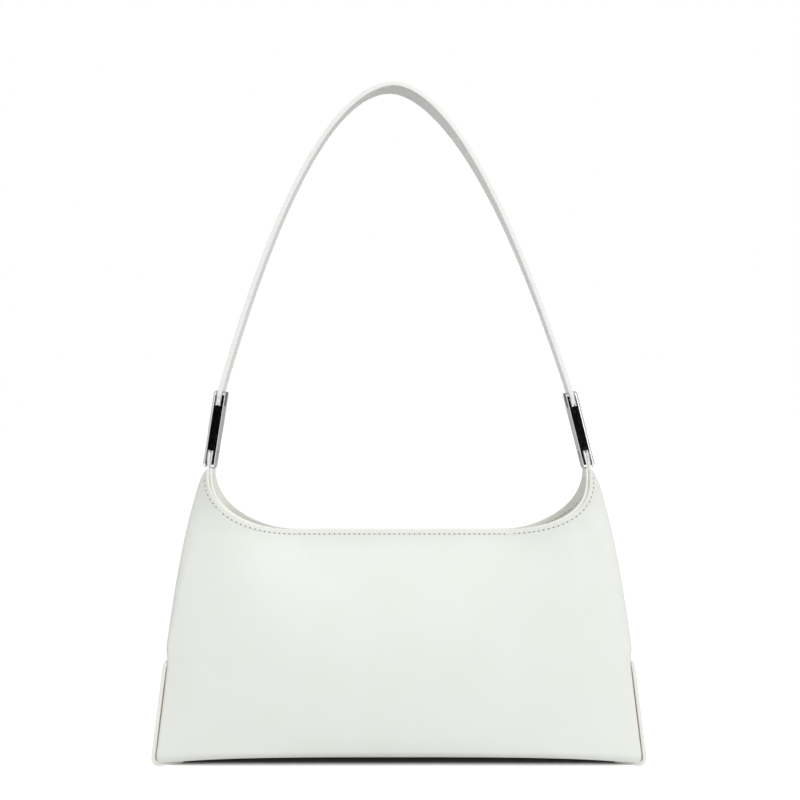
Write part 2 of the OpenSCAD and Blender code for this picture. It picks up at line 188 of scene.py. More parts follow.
def edit_all(obj: Piece, *steps: Callable[[], Any]) -> None:
    """Runs edit-mode steps on all of obj.

    Args:
        obj: The mesh object.
        steps: Calls without arguments, in order.
    """
    pick(obj)
    bpy.ops.object.mode_set(mode="EDIT")
    bpy.ops.mesh.select_mode(type="VERT")
    bpy.ops.mesh.select_all(action="SELECT")
    for step in steps:
        step()
    bpy.ops.object.mode_set(mode="OBJECT")


def surface_grid(name: str, columns: int, rows: int, place: Place) -> Piece:
    """Adds a flat grid and lays each of its points on a surface, as leather on a last.

    Args:
        name: Name of the new piece.
        columns: Faces across.
        rows: Faces up.
        place: Gives the point in millimetres for shares from -1 to 1 across and 0 to 1 up.

    Returns:
        The new piece, with only the vertices of its last row selected.
    """
    add = bpy.ops.mesh.primitive_grid_add
    obj = primitive(name, add, x_subdivisions=columns, y_subdivisions=rows, size=2)
    for vertex in obj.data.vertices:
        vertex.select = vertex.co.y > 1 - 1e-4
        vertex.co = place(vertex.co.x, (vertex.co.y + 1) / 2) * MM
    obj.data.update()
    return obj


def flat_area(sheet: Piece) -> float:
    """Returns the area of an open sheet in square metres."""
    return sum(face.area for face in sheet.data.polygons)


def shade(obj: Piece, degrees: float) -> Piece:
    """Shades obj smooth but for edges sharper than that angle."""
    pick(obj)
    bpy.ops.object.shade_smooth_by_angle(angle=math.radians(degrees))
    return obj


def thicken(
    sheet: Piece, thickness: float, edge: float, top_only: bool = False, skive: str = ""
) -> Piece:
    """Gives a sheet its thickness on the inner side and rounds its cut edges.

    Args:
        sheet: The open sheet from surface_grid, whose normals point outwards.
        thickness: Thickness in millimetres.
        edge: Radius of its edges in millimetres.
        top_only: Whether only the edge of the grid's last row is rounded.
        skive: Vertex group that gives the share of the thickness.

    Returns:
        The same piece.
    """
    mesh = sheet.data
    count = len(mesh.vertices)
    top = {vertex.index for vertex in mesh.vertices if vertex.select}
    apply_modifier(
        sheet, "SOLIDIFY", thickness=thickness * MM, offset=-1, use_even_offset=False,
        vertex_group=skive,
    )
    rounding = {"width": edge * MM, "use_clamp_overlap": False}
    if top_only:
        weights = mesh.attributes.new("bevel_weight_edge", "FLOAT", "EDGE").data
        for link in mesh.edges:
            first, second = link.vertices
            on_top = first % count in top and second % count in top
            weights[link.index].value = float(on_top and abs(first - second) != count)
        apply_modifier(sheet, "BEVEL", segments=4, limit_method="WEIGHT", **rounding)
    elif edge:
        rounding["angle_limit"] = math.radians(50)
        apply_modifier(sheet, "BEVEL", segments=3, limit_method="ANGLE", **rounding)
    return shade(sheet, 60)


def thicken_rows(
    sheet: Piece, columns: int, shares: Sequence[float], thickness: float, edge: float
) -> Piece:
    """Thickens a sheet whose rows are skived, each to its own share.

    Args:
        sheet: The open sheet.
        columns: Its faces across.
        shares: Each row's share of the thickness.
        thickness: The full thickness in millimetres.
        edge: Radius of its edges in millimetres.

    Returns:
        The same piece.
    """
    group = sheet.vertex_groups.new(name="thickness")
    for vertex in sheet.data.vertices:
        row = min(vertex.index // (columns + 1), len(shares) - 1)
        group.add([vertex.index], shares[row], "REPLACE")
    thicken(sheet, thickness, edge, skive="thickness")
    sheet.vertex_groups.clear()
    return sheet


def moved_copy(obj: Piece, matrix: Matrix) -> Piece:
    """Makes a copy of a piece with its own mesh.

    Args:
        obj: The piece to copy.
        matrix: How its mesh is moved.

    Returns:
        The copy.
    """
    copy = obj.copy()
    copy.data = obj.data.copy()
    copy.data.transform(matrix)
    bpy.context.scene.collection.objects.link(copy)
    return copy


def mirror_copy(obj: Piece, name: str, axis: int = 0) -> Piece:
    """Makes a mirrored copy with its own mesh and its normals set right.

    Args:
        obj: The piece to copy.
        name: Name of the copy.
        axis: 0 to mirror left and right, 1 to mirror front and back.

    Returns:
        The copy.
    """
    copy = moved_copy(obj, Matrix.Scale(-1, 4, Vector((axis == 0, axis == 1, 0))))
    copy.name = copy.data.name = name
    copy.data.flip_normals()
    copy.data.update()
    return copy


def joined(pieces: Sequence[Piece], name: str) -> Piece:
    """Joins pieces into one.

    Args:
        pieces: The pieces, of which the first one takes in the others.
        name: Name of the whole.

    Returns:
        The joined piece.
    """
    pick(pieces[0])
    for piece in pieces:
        piece.select_set(True)
    bpy.ops.object.join()
    pieces[0].name = pieces[0].data.name = name
    return pieces[0]


def dress(obj: Piece, material: Material, slot: str, *nodes: str, body: str = "bag") -> None:
    """Gives a piece its finish and the CAD body that it rides on.

    Args:
        obj: The finished piece.
        material: Its material.
        slot: The record's material slot. It is not used.
        nodes: CAD nodes that it replaces.
        body: The body to ride on, or an empty name to leave it on none.
    """
    obj.data.materials.clear()
    obj.data.materials.append(material)
    if body:
        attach(obj, body)
    if nodes:
        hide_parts(*nodes)
    LOG.info("%s: %d faces", obj.name, len(obj.data.polygons))


# Finishes.


def add_node(
    tree: Tree, kind: str, attributes: dict[str, Any] | None = None,
    values: dict[Any, Any] | None = None, links: dict[Any, Any] | None = None,
    stops: Sequence[tuple[float, str]] = (),
) -> bpy.types.Node:
    """Adds a node with its settings and links.

    Args:
        tree: The node tree.
        kind: The node's type.
        attributes: Settings of the node itself.
        values: Values of its inputs.
        links: Sockets joined to its inputs.
        stops: Places and hex colours of a colour ramp's two stops.

    Returns:
        The new node.
    """
    node = tree.nodes.new(kind)
    for name, value in (attributes or {}).items():
        setattr(node, name, value)
    for name, value in (values or {}).items():
        node.inputs[name].default_value = value
    for name, socket in (links or {}).items():
        tree.links.new(socket, node.inputs[name])
    for i, (place, tone) in enumerate(stops):
        node.color_ramp.elements[i].position = place
        node.color_ramp.elements[i].color = linear_colour(tone)
    return node


def empty_material(name: str) -> tuple[Material, Tree]:
    """Makes a material with no nodes.

    Args:
        name: Name of the material.

    Returns:
        The material and its node tree.
    """
    material = bpy.data.materials.new(name)
    material.use_nodes = True
    material.node_tree.nodes.clear()
    return material, material.node_tree


def seen_directly(tree: Tree) -> Any:
    """Adds the nodes that tell what the camera sees, straight, mirrored or through glass.

    Args:
        tree: The node tree.

    Returns:
        The socket that is 1 for such rays and 0 for others.
    """
    path = add_node(tree, "ShaderNodeLightPath").outputs
    seen = path["Is Camera Ray"]
    for other in ("Is Glossy Ray", "Is Transmission Ray"):
        seen = add_node(
            tree, "ShaderNodeMath", {"operation": "MAXIMUM"}, links={0: seen, 1: path[other]}
        ).outputs[0]
    return seen


class Grain(Enum):
    """How the hair side of the leather was plated."""

    FINE = 0.42
    SOFT = 0.7


@dataclass(frozen=True)
class Calfskin:
    """Chrome-tanned calf with a pigmented, lightly plated face: fine pores, soft gloss."""

    name: str
    tone: str
    worn_tone: str
    roughness: float = 0.46
    grain: Grain = Grain.FINE
    relief: float = 0.05
    # Real sizes in millimetres of the tone's slow clouds and of the fine creases.
    cloud: float = 38
    crease: float = 3.2

    def material(self) -> Material:
        """Builds the leather's material.

        Returns:
            The material.
        """
        material, tree = empty_material(self.name)
        where = add_node(tree, "ShaderNodeTexCoord").outputs["Object"]
        cloud = add_node(
            tree, "ShaderNodeTexNoise", None,
            {"Scale": 1 / (self.cloud * MM), "Detail": 2.0}, {"Vector": where},
        )
        tone = add_node(
            tree, "ShaderNodeValToRGB", links={"Fac": cloud.outputs["Fac"]},
            stops=[(0.35, self.worn_tone), (0.65, self.tone)],
        )
        pores = add_node(
            tree, "ShaderNodeTexVoronoi", {"feature": "SMOOTH_F1"},
            {"Scale": 1 / (self.grain.value * MM), "Smoothness": 0.6}, {"Vector": where},
        )
        creases = add_node(
            tree, "ShaderNodeTexNoise", None,
            {"Scale": 1 / (self.crease * MM), "Detail": 5.0, "Roughness": 0.6}, {"Vector": where},
        )
        height = add_node(
            tree, "ShaderNodeMath", {"operation": "MULTIPLY_ADD"}, {1: 0.8},
            {0: pores.outputs["Distance"], 2: creases.outputs["Fac"]},
        )
        bump = add_node(
            tree, "ShaderNodeBump", values={"Strength": 0.28, "Distance": self.relief * MM},
            links={"Height": height.outputs[0]},
        )
        gloss = add_node(
            tree, "ShaderNodeMapRange",
            values={"To Min": self.roughness - 0.05, "To Max": self.roughness + 0.07},
            links={"Value": creases.outputs["Fac"]},
        )
        face = add_node(
            tree, "ShaderNodeBsdfPrincipled", values={"IOR": 1.43},
            links={
                "Base Color": tone.outputs["Color"], "Roughness": gloss.outputs[0],
                "Normal": bump.outputs[0],
            },
        )
        add_node(tree, "ShaderNodeOutputMaterial", links={"Surface": face.outputs[0]})
        return material


@dataclass(frozen=True)
class TwillLining:
    """Cotton twill lining: slanted ribs of yarn, no gloss, a faint bloom of loose fibre."""

    name: str = "cotton_twill"
    tone: str = "#D8D2C5"
    # The gaps between the ribs are darkened as painted shade.
    gap_shade_tone: str = "#BDB6A6"
    # Real ribs are 0.5 mm apart, and these are drawn at 0.9 mm so that they show.
    rib: float = 0.9
    # The wave texture's bands lie this far apart at a scale of 1.
    band: float = 0.314
    fibre: float = 0.4
    relief: float = 0.15

    def material(self) -> Material:
        """Builds the cloth's material.

        Returns:
            The material.
        """
        material, tree = empty_material(self.name)
        where = add_node(tree, "ShaderNodeTexCoord").outputs["Object"]
        turned = add_node(
            tree, "ShaderNodeMapping", None,
            {"Rotation": (0.5, math.radians(38), 0.6)}, {"Vector": where},
        )
        ribs = add_node(
            tree, "ShaderNodeTexWave", {"bands_direction": "X"},
            {
                "Scale": self.band / (self.rib * MM), "Distortion": 0.6,
                "Detail": 1.0, "Detail Scale": 2.0,
            },
            {"Vector": turned.outputs[0]},
        )
        fibre = add_node(
            tree, "ShaderNodeTexNoise", None,
            {"Scale": 1 / (self.fibre * MM), "Detail": 3.0}, {"Vector": where},
        )
        both = add_node(
            tree, "ShaderNodeMath", {"operation": "MULTIPLY_ADD"}, {1: 0.4},
            {0: fibre.outputs["Fac"], 2: ribs.outputs["Fac"]},
        )
        # The ramp's dark stop is painted shade in the gaps between the ribs.
        tone = add_node(
            tree, "ShaderNodeValToRGB", links={"Fac": both.outputs[0]},
            stops=[(0.25, self.gap_shade_tone), (0.9, self.tone)],
        )
        bump = add_node(
            tree, "ShaderNodeBump", None, {"Strength": 0.5, "Distance": self.relief * MM},
            {"Height": both.outputs[0]},
        )
        face = add_node(
            tree, "ShaderNodeBsdfPrincipled", None,
            {"Roughness": 0.92, "IOR": 1.45, "Sheen Weight": 0.15},
            {"Base Color": tone.outputs["Color"], "Normal": bump.outputs[0]},
        )
        add_node(tree, "ShaderNodeOutputMaterial", links={"Surface": face.outputs[0]})
        return material


@dataclass(frozen=True)
class Metal:
    """Solid metal with its own surface work: polish, plating or turning."""

    name: str
    tone: str
    roughness: float
    scratch: float
    scratch_depth: float
    edge_tone: str = "#A8A8AA"

    def material(self) -> Material:
        """Builds the metal's material.

        Returns:
            The material.
        """
        material, tree = empty_material(self.name)
        where = add_node(tree, "ShaderNodeTexCoord").outputs["Object"]
        stretched = add_node(
            tree, "ShaderNodeMapping", values={"Scale": (1.0, 1.0, 0.08)}, links={"Vector": where}
        )
        marks = add_node(
            tree, "ShaderNodeTexNoise", values={"Scale": 1 / (self.scratch * MM), "Detail": 3.0},
            links={"Vector": stretched.outputs[0]},
        )
        gloss = add_node(
            tree, "ShaderNodeMapRange",
            values={"To Min": self.roughness * 0.8, "To Max": self.roughness * 1.25},
            links={"Value": marks.outputs["Fac"]},
        )
        bump = add_node(
            tree, "ShaderNodeBump", values={"Strength": 0.2, "Distance": self.scratch_depth * MM},
            links={"Height": marks.outputs["Fac"]},
        )
        face = add_node(
            tree, "ShaderNodeBsdfPrincipled",
            values={
                "Base Color": linear_colour(self.tone), "Metallic": 1.0,
                "Specular Tint": linear_colour(self.edge_tone),
            },
            links={"Roughness": gloss.outputs[0], "Normal": bump.outputs[0]},
        )
        add_node(tree, "ShaderNodeOutputMaterial", links={"Surface": face.outputs[0]})
        return material


@dataclass(frozen=True)
class Fibrous:
    """A matt, fibrous stuff, such as thread, raw leather edge or greyboard."""

    name: str
    tone: str
    dark_tone: str
    fibre: float
    roughness: float = 0.85

    def material(self) -> Material:
        """Builds the stuff's material.

        Returns:
            The material.
        """
        material, tree = empty_material(self.name)
        where = add_node(tree, "ShaderNodeTexCoord").outputs["Object"]
        fibre = add_node(
            tree, "ShaderNodeTexNoise", None,
            {"Scale": 1 / (self.fibre * MM), "Detail": 4.0, "Roughness": 0.7}, {"Vector": where},
        )
        tone = add_node(
            tree, "ShaderNodeValToRGB", links={"Fac": fibre.outputs["Fac"]},
            stops=[(0.3, self.dark_tone), (0.65, self.tone)],
        )
        bump = add_node(
            tree, "ShaderNodeBump", values={"Strength": 0.4, "Distance": self.fibre * 0.3 * MM},
            links={"Height": fibre.outputs["Fac"]},
        )
        face = add_node(
            tree, "ShaderNodeBsdfPrincipled", values={"Roughness": self.roughness, "IOR": 1.45},
            links={"Base Color": tone.outputs["Color"], "Normal": bump.outputs[0]},
        )
        add_node(tree, "ShaderNodeOutputMaterial", links={"Surface": face.outputs[0]})
        return material


@dataclass(frozen=True)
class StudioWhite:
    """White paper sweep, plain white to the camera and to polished metal but for a painted shadow
    under the bag.
    """

    name: str = "paper_sweep"
    tone: str = "#B2B2B2"
    # What the camera sees of the paper, under the bag and round it, as a multiple of its tone.
    # Under the bag it is a painted shadow.
    lift: float = 0.3
    far_lift: float = 4.0
    # Half sizes of the painted shadow under the bag, and how far its edge fades, in metres.
    painted_shadow_box: tuple[float, float, float] = (0.135, 0.022, 100.0)
    fade: float = 0.011

    def material(self) -> Material:
        """Builds the paper's material.

        Returns:
            The material.
        """
        material, tree = empty_material(self.name)
        plain = linear_colour(self.tone)
        # The camera and mirrors see the paper darkened under the bag as a painted shadow, and
        # lifted to white round it.
        near, far = (
            tuple(c * lift for c in plain[:3]) + (1.0,) for lift in (self.lift, self.far_lift)
        )
        where = add_node(tree, "ShaderNodeTexCoord").outputs["Object"]
        # The distance from the painted shadow: the place without signs, less the half sizes, and at
        # least 0.
        off = where
        for operation, values, result in (
            ("ABSOLUTE", {}, 0), ("SUBTRACT", {1: self.painted_shadow_box}, 0), ("MAXIMUM", {}, 0),
            ("LENGTH", {}, "Value"),
        ):
            off = add_node(
                tree, "ShaderNodeVectorMath", {"operation": operation}, values, {0: off}
            ).outputs[result]
        share = add_node(
            tree, "ShaderNodeMapRange", {"interpolation_type": "SMOOTHSTEP"},
            {"From Max": self.fade}, {"Value": off},
        )
        lifted = add_node(
            tree, "ShaderNodeMix", {"data_type": "RGBA"}, {6: near, 7: far}, {0: share.outputs[0]}
        )
        tone = add_node(
            tree, "ShaderNodeMix", {"data_type": "RGBA"}, {6: plain},
            {0: seen_directly(tree), 7: lifted.outputs[2]},
        )
        face = add_node(tree, "ShaderNodeBsdfDiffuse", links={"Color": tone.outputs[2]})
        add_node(tree, "ShaderNodeOutputMaterial", links={"Surface": face.outputs[0]})
        return material


@dataclass
class Finishes:
    """Every finish of the bag, each made once."""

    # Chrome-tanned calf, pigmented and plated: even off-white with fine pores and a soft gloss.
    shell: Material = field(
        default_factory=Calfskin("smooth_calf", "#F1F3EE", "#EFF1EB", 0.62).material
    )
    # The same hide, thicker and pressed a little more: the same white with a clearer gloss.
    patch: Material = field(
        default_factory=Calfskin("side_calf", "#F1F3EE", "#EFF1EB", 0.55).material
    )
    # Calf with an edge-painted, tightly plated face: nearly pure white and almost without relief.
    strap: Material = field(
        default_factory=Calfskin("strap_calf", "#F8F9F6", "#F6F7F3", 0.6, relief=0.012).material
    )
    # Softer calf with an open grain behind the mouth's edge: a warmer white, made lighter than the
    # shell's as painted light on the shaded inside of the mouth.
    facing: Material = field(
        default_factory=Calfskin("facing_calf", "#F9FAF3", "#F7F8F0", 0.6, Grain.SOFT).material
    )
    # Woven cotton: matt beige with slanted ribs, and painted shade in the gaps between them.
    lining: Material = field(default_factory=TwillLining().material)
    # Nickel-plated brass, buffed: a mirror of the white room and the dark behind the camera.
    chrome: Material = field(
        default_factory=Metal("polished_nickel", "#CBCBCD", 0.07, 0.4, 0.002).material
    )
    # Turned steel: satin grey with fine marks from the lathe.
    steel: Material = field(
        default_factory=Metal("turned_steel", "#B9B9BC", 0.3, 0.15, 0.01).material
    )
    # Bonded polyester thread: round stitches with a faint shine, a shade darker than the leather.
    thread: Material = field(
        default_factory=Fibrous("bonded_thread", "#EDEFE9", "#D9DBD3", 0.12, 0.6).material
    )
    # Painted shade of a needle hole: a small dark point between two stitches, where the hole is in
    # shade.
    hole: Material = field(
        default_factory=Fibrous("needle_hole_painted_shade", "#4E4D47", "#393833", 0.2).material
    )
    # The leather's cut flesh side: a warm, matt line.
    raw_edge: Material = field(
        default_factory=Fibrous("raw_leather_edge", "#E8DCD0", "#D9CABD", 0.3).material
    )
    # Grey bookbinder's board: matt brown with coarse fibres.
    board: Material = field(
        default_factory=Fibrous("greyboard", "#A2937A", "#8D7E66", 0.5).material
    )


# The bag's form.


@dataclass(frozen=True)
class BagForm:
    """The shape that the shell is sewn to, from the CAD's sizes in millimetres."""

    base_w: float = 293
    lean_in: float = 26.9
    body_d: float = 72
    rim_h: float = 138.5
    horn_h: float = 176.4
    rim_flat_w: float = 123
    horn_tip_w: float = 3.9
    mouth_d: float = 10.4
    corner_r: float = 3.8
    seam_z: float = 1.2
    base_arch: float = 4.4
    arch_power: float = 4.5
    # How far the sides stand out over the patches that pull them in.
    side_swell: float = 2.0
    patch_h: float = 59.5
    # The swell grows from just under the patch's top, and a share of it fades again at the horn.
    swell_below: float = 2
    swell_run: float = 12
    swell_fade: float = 0.4
    swell_fade_z: float = 166
    swell_fade_run: float = 10
    # Share of the sides' lean that is straight. The rest grows with the fourth power of the height.
    lean_straight: float = 0.6
    bulge_low: float = 3.5
    bulge_mid: float = 5
    bulge_power: int = 5
    # The middle's flat width at the bottom, and the share of the height from which it widens.
    flare_low: float = 0.25
    flare_from: float = 0.6
    pin_z: float = 189.148
    sweep_r: float = 14.174
    middle_shares: Table = (
        (0, 0.94), (0.11, 1), (0.32, 0.94), (0.55, 0.78), (0.72, 0.56), (0.85, 0.33),
        (0.92, 0.2), (0.96, 0.155), (1, 0.144),
    )
    side_shares: Table = (
        (0, 0.9), (0.34, 0.61), (0.6, 0.44), (0.78, 0.355), (0.86, 0.345), (0.91, 0.355),
        (0.96, 0.3), (1, 0.245),
    )
    # How far the panels turn round towards the side seams, by height up to table_h.
    table_h: float = 177
    turn_reach: Table = (
        (0, 1.7), (62, 2.0), (90, 4.5), (120, 7.5), (138, 13), (150, 20), (177, 24),
    )
    # Half width of the gusset's flat part, by height.
    flat_half: Table = (
        (0, 30.6), (30, 23.6), (62, 18.8), (90, 14), (120, 9.4), (140, 6.6), (163, 4.3), (177, 3.6),
    )
    # Power of the turn's curve, by height: 2 is an ellipse, and 1 is straight.
    turn_power: Table = ((0, 2.0), (130, 2.0), (150, 1.8), (163, 1.3), (177, 1.1))
    # How far the turn may pass the mouth's edge, its curve's length as a share of its box's, and
    # the least reach of a turn inside the shell.
    turn_past: float = 0.5
    turn_share: float = 0.8
    least_reach: float = 0.1
    under_turn: float = 1.6
    rim_power: float = 2.2
    flat_share: float = 0.4
    scoop_share: float = 0.9
    # How far the shell's edge keeps back from the CAD's at the horns, so that both plies show.
    ply_shift: float = 2.9
    # How far the edge hangs out at the scoop, as it does at the front's right.
    droop: float = 0
    # How far the edge stands into the mouth along the scoop, in full from this angle up.
    reach_in: float = 0
    reach_angle: float = 0.6
    # How far the horn's outer corner is rounded off, and how far under the tip its depth is read.
    horn_drop: float = 3.5
    tip_below: float = 0.5
    # Where the gusset's top starts to follow the swinging link's path, as a share of its height.
    lift_from: float = 0.9
    lift_run: float = 0.1

    def half_base(self) -> float:
        """Returns half the width at the base."""
        return self.base_w / 2

    def half_horn(self) -> float:
        """Returns half the width at the horn tips."""
        return self.half_base() - self.lean_in

    def side_x(self, z: float) -> float:
        """Gives the half width at the side seam.

        Args:
            z: Height of the section.

        Returns:
            The half width.
        """
        k = z / self.horn_h
        fade = self.swell_fade * ease((z - self.swell_fade_z) / self.swell_fade_run)
        grown = ease((z - self.patch_h + self.swell_below) / self.swell_run)
        swell = self.side_swell * grown * (1 - fade)
        return self.half_base() - self.lean_in * mix(k**4, k, self.lean_straight) + swell

    def side_y(self, z: float) -> float:
        """Returns the half depth at the side seam at a height."""
        return self.body_d / 2 * smooth_table(self.side_shares, clamp(z / self.horn_h))

    def middle_y(self, z: float) -> float:
        """Returns the half depth at the middle of the bag at a height."""
        least = self.middle_shares[-1][1]
        share = (smooth_table(self.middle_shares, clamp(z / self.rim_h)) - least) / (1 - least)
        return mix(self.mouth_d / 2, self.body_d / 2, share)

    def half_depth(self, x: float, z: float) -> float:
        """Gives the half depth of the bag's outside, before its side edges are turned.

        Args:
            x: Place across.
            z: Height.

        Returns:
            The half depth.
        """
        widening = ease((z / self.rim_h - self.flare_from) / (1 - self.flare_from))
        flare = self.rim_flat_w / 2 * mix(self.flare_low, 1, widening)
        swell = self.bulge_low + self.bulge_mid * math.sin(math.pi * clamp(z / self.rim_h))
        side = self.side_y(z) + swell * (1 - clamp(abs(x) / self.side_x(z)) ** self.bulge_power)
        reach = self.half_horn() - self.mouth_d - flare
        return mix(self.middle_y(z), side, ease((abs(x) - flare) / reach))

    def horn_top(self, y: float) -> float:
        """Returns the height under the swinging link's path at a distance from the middle plane."""
        arc = self.pin_z - math.sqrt(max(self.sweep_r**2 - y * y, 0))
        return min(arc, self.horn_h)

    def rim(self, u: float) -> tuple[float, float]:
        """Gives a point of the front's upper edge.

        Args:
            u: Share across, from 0 in the middle to scoop_share at the horn.

        Returns:
            Its x and z.
        """
        half_flat = self.rim_flat_w / 2
        if u <= self.flat_share:
            return half_flat * u / self.flat_share, self.rim_h
        turn = QUARTER * (u - self.flat_share) / (self.scoop_share - self.flat_share)
        return self._scoop_point(min(turn, QUARTER))

    def _scoop_point(self, turn: float) -> tuple[float, float]:
        """Gives a point of the scoop.

        Args:
            turn: Angle in radians, from 0 at the scoop's low end.

        Returns:
            Its x and z.
        """
        half_flat = self.rim_flat_w / 2
        wide = self.half_horn() - self.horn_tip_w - half_flat
        bow = 2 / self.rim_power
        x = half_flat + wide * math.sin(turn) ** bow
        z = self.horn_h - (self.horn_h - self.rim_h) * max(math.cos(turn), 0) ** bow
        hung = self.droop * math.sin(2 * turn) ** 2
        back = self.ply_shift * ease(turn / QUARTER)
        inward = self.reach_in * ease(turn / self.reach_angle)
        return x + hung + back - inward, z

    def rim_x(self, z: float) -> float:
        """Returns x of the front edge at a height above the middle of the mouth."""
        share = clamp((self.horn_h - z) / (self.horn_h - self.rim_h))
        return self._scoop_point(math.acos(share ** (self.rim_power / 2)))[0]

    def turn(self, z: float) -> tuple[float, float, float, float]:
        """Describes how the panels turn round to the side seams.

        Args:
            z: Height of the section.

        Returns:
            The turn's start in x, its reach, the gusset's half width and its power.
        """
        wide = self.side_x(z)
        height = clamp(z / self.table_h) * self.table_h
        reach = smooth_table(self.turn_reach, height)
        flat = smooth_table(self.flat_half, height)
        power = smooth_table(self.turn_power, height)
        if z > self.rim_h:
            # The lesser of the reach and the room beside the scoop, blended softly.
            room = wide - self.rim_x(z) + self.turn_past
            reach = (reach**-4 + room**-4) ** -0.25
        return wide - reach, reach, flat, power

    def girth(self, z: float) -> float:
        """Returns the length along the section from the middle to the side seam, nearly."""
        start, reach, flat, _ = self.turn(z)
        return start + self.turn_share * (reach + self.half_depth(start, z) - flat)

    def section(self, z: float, q: float, inset: float = 0) -> tuple[float, float]:
        """Gives a point of the level section.

        Args:
            z: Height of the section.
            q: Share of the way from the middle to the side seam.
            inset: How far inside the shell's outside the section runs.

        Returns:
            Its x and half depth.
        """
        start, reach, flat, power = self.turn(z)
        along = q * self.girth(z)
        if along <= start:
            return along, self.half_depth(along, z) - inset
        angle = QUARTER * clamp((along - start) / (self.girth(z) - start))
        x = start + max(reach - inset, self.least_reach) * math.sin(angle) ** (2 / power)
        deep = self.half_depth(x, z) - inset
        return x, mix(min(flat, deep), deep, max(math.cos(angle), 0) ** (2 / power))

    def share_at(self, x: float, z: float) -> float:
        """Finds the share of the section that lies at a place across.

        Args:
            x: Place across.
            z: Height of the section.

        Returns:
            The share q, as section takes it.
        """
        start, reach, _, power = self.turn(z)
        along = x
        if x > start:
            angle = math.asin(clamp((x - start) / reach) ** (power / 2))
            along = start + angle / QUARTER * (self.girth(z) - start)
        return along / self.girth(z)

    def top(self, u: float) -> tuple[float, float]:
        """Gives the top end of one of the panel's columns.

        Args:
            u: Share across, from 0 to 1.

        Returns:
            The section share there and the height.
        """
        x, z = self.rim(min(u, self.scoop_share))
        q = self.share_at(x, z)
        if u <= self.scoop_share:
            return q, z
        past = (u - self.scoop_share) / (1 - self.scoop_share)
        q = mix(q, 1, past)
        depth = self.section(self.horn_h - self.tip_below, q)[1]
        return q, self.horn_top(depth) - self.horn_drop * past**2

    def arch(self, x: float) -> float:
        """Returns how far the bottom edge is lifted off its lowest line at a place across."""
        reach = self.side_x(self.seam_z) - self.corner_r
        return self.base_arch * (1 - clamp(abs(x) / reach) ** self.arch_power)

    def bottom(self, u: float) -> tuple[float, float]:
        """Gives the bottom end of one of the panel's columns.

        Args:
            u: Share across, from 0 to 1.

        Returns:
            The section share there and the height.
        """
        corner_z = self.seam_z + self.corner_r
        x = self.section(corner_z, u)[0]
        past = x - (self.side_x(corner_z) - self.corner_r)
        if past > 0:
            return u, corner_z - math.sqrt(max(self.corner_r**2 - past**2, 0))
        return u, self.seam_z + self.arch(x)

    def front(self, u: float, v: float, inset: float = 0) -> Vector:
        """Gives a point of the front.

        Args:
            u: Share across, from -1 to 1.
            v: Share up, from 0 to 1.
            inset: How far inside the shell's outside it lies.

        Returns:
            The point in millimetres.
        """
        side = abs(u)
        (q0, z0), (q1, z1) = self.bottom(side), self.top(side)
        z, q = mix(z0, z1, v), mix(q0, q1, v)
        x, depth = self.section(z, q, inset)
        tuck = self.tuck((z - z0) / self.under_turn)
        return Vector((math.copysign(x, u), tuck - depth, z))

    def tuck(self, share: float) -> float:
        """Returns how far the bottom edge is turned in at a share of the turn's height."""
        return self.under_turn * (1 - math.sqrt(1 - (1 - clamp(share)) ** 2))

    def gusset(self, s: float, v: float, wider: float = 0, inset: float = 0) -> Vector:
        """Gives a point of the right gusset.

        Args:
            s: Share across, from -1 at the front to 1 at the back.
            v: Share up, from 0 to 1.
            wider: How much wider than the flat part it is, on each side.
            inset: How far inside the shell's outside it lies.

        Returns:
            The point in millimetres.
        """
        z0, z1 = self.bottom(1)[1], self.top(1)[1]
        z = mix(z0, z1, v)
        flat = self.turn(z)[2] + wider
        y = s * flat
        lift = self.horn_top(y) - self.horn_top(flat)
        share = ease((v - self.lift_from) / self.lift_run)
        return Vector((self.side_x(z) - inset, y, z + lift * share))


# Sub-assemblies.


def turned_round(point: Vector) -> Vector:
    """Returns a point of the front, turned half round to the back."""
    return Vector((-point.x, -point.y, point.z))


def crowd_up(v: float, power: float = 1.5) -> float:
    """Returns rows that lie closer together towards the mouth."""
    return mix(v, 1 - (1 - v) ** power, 0.5)


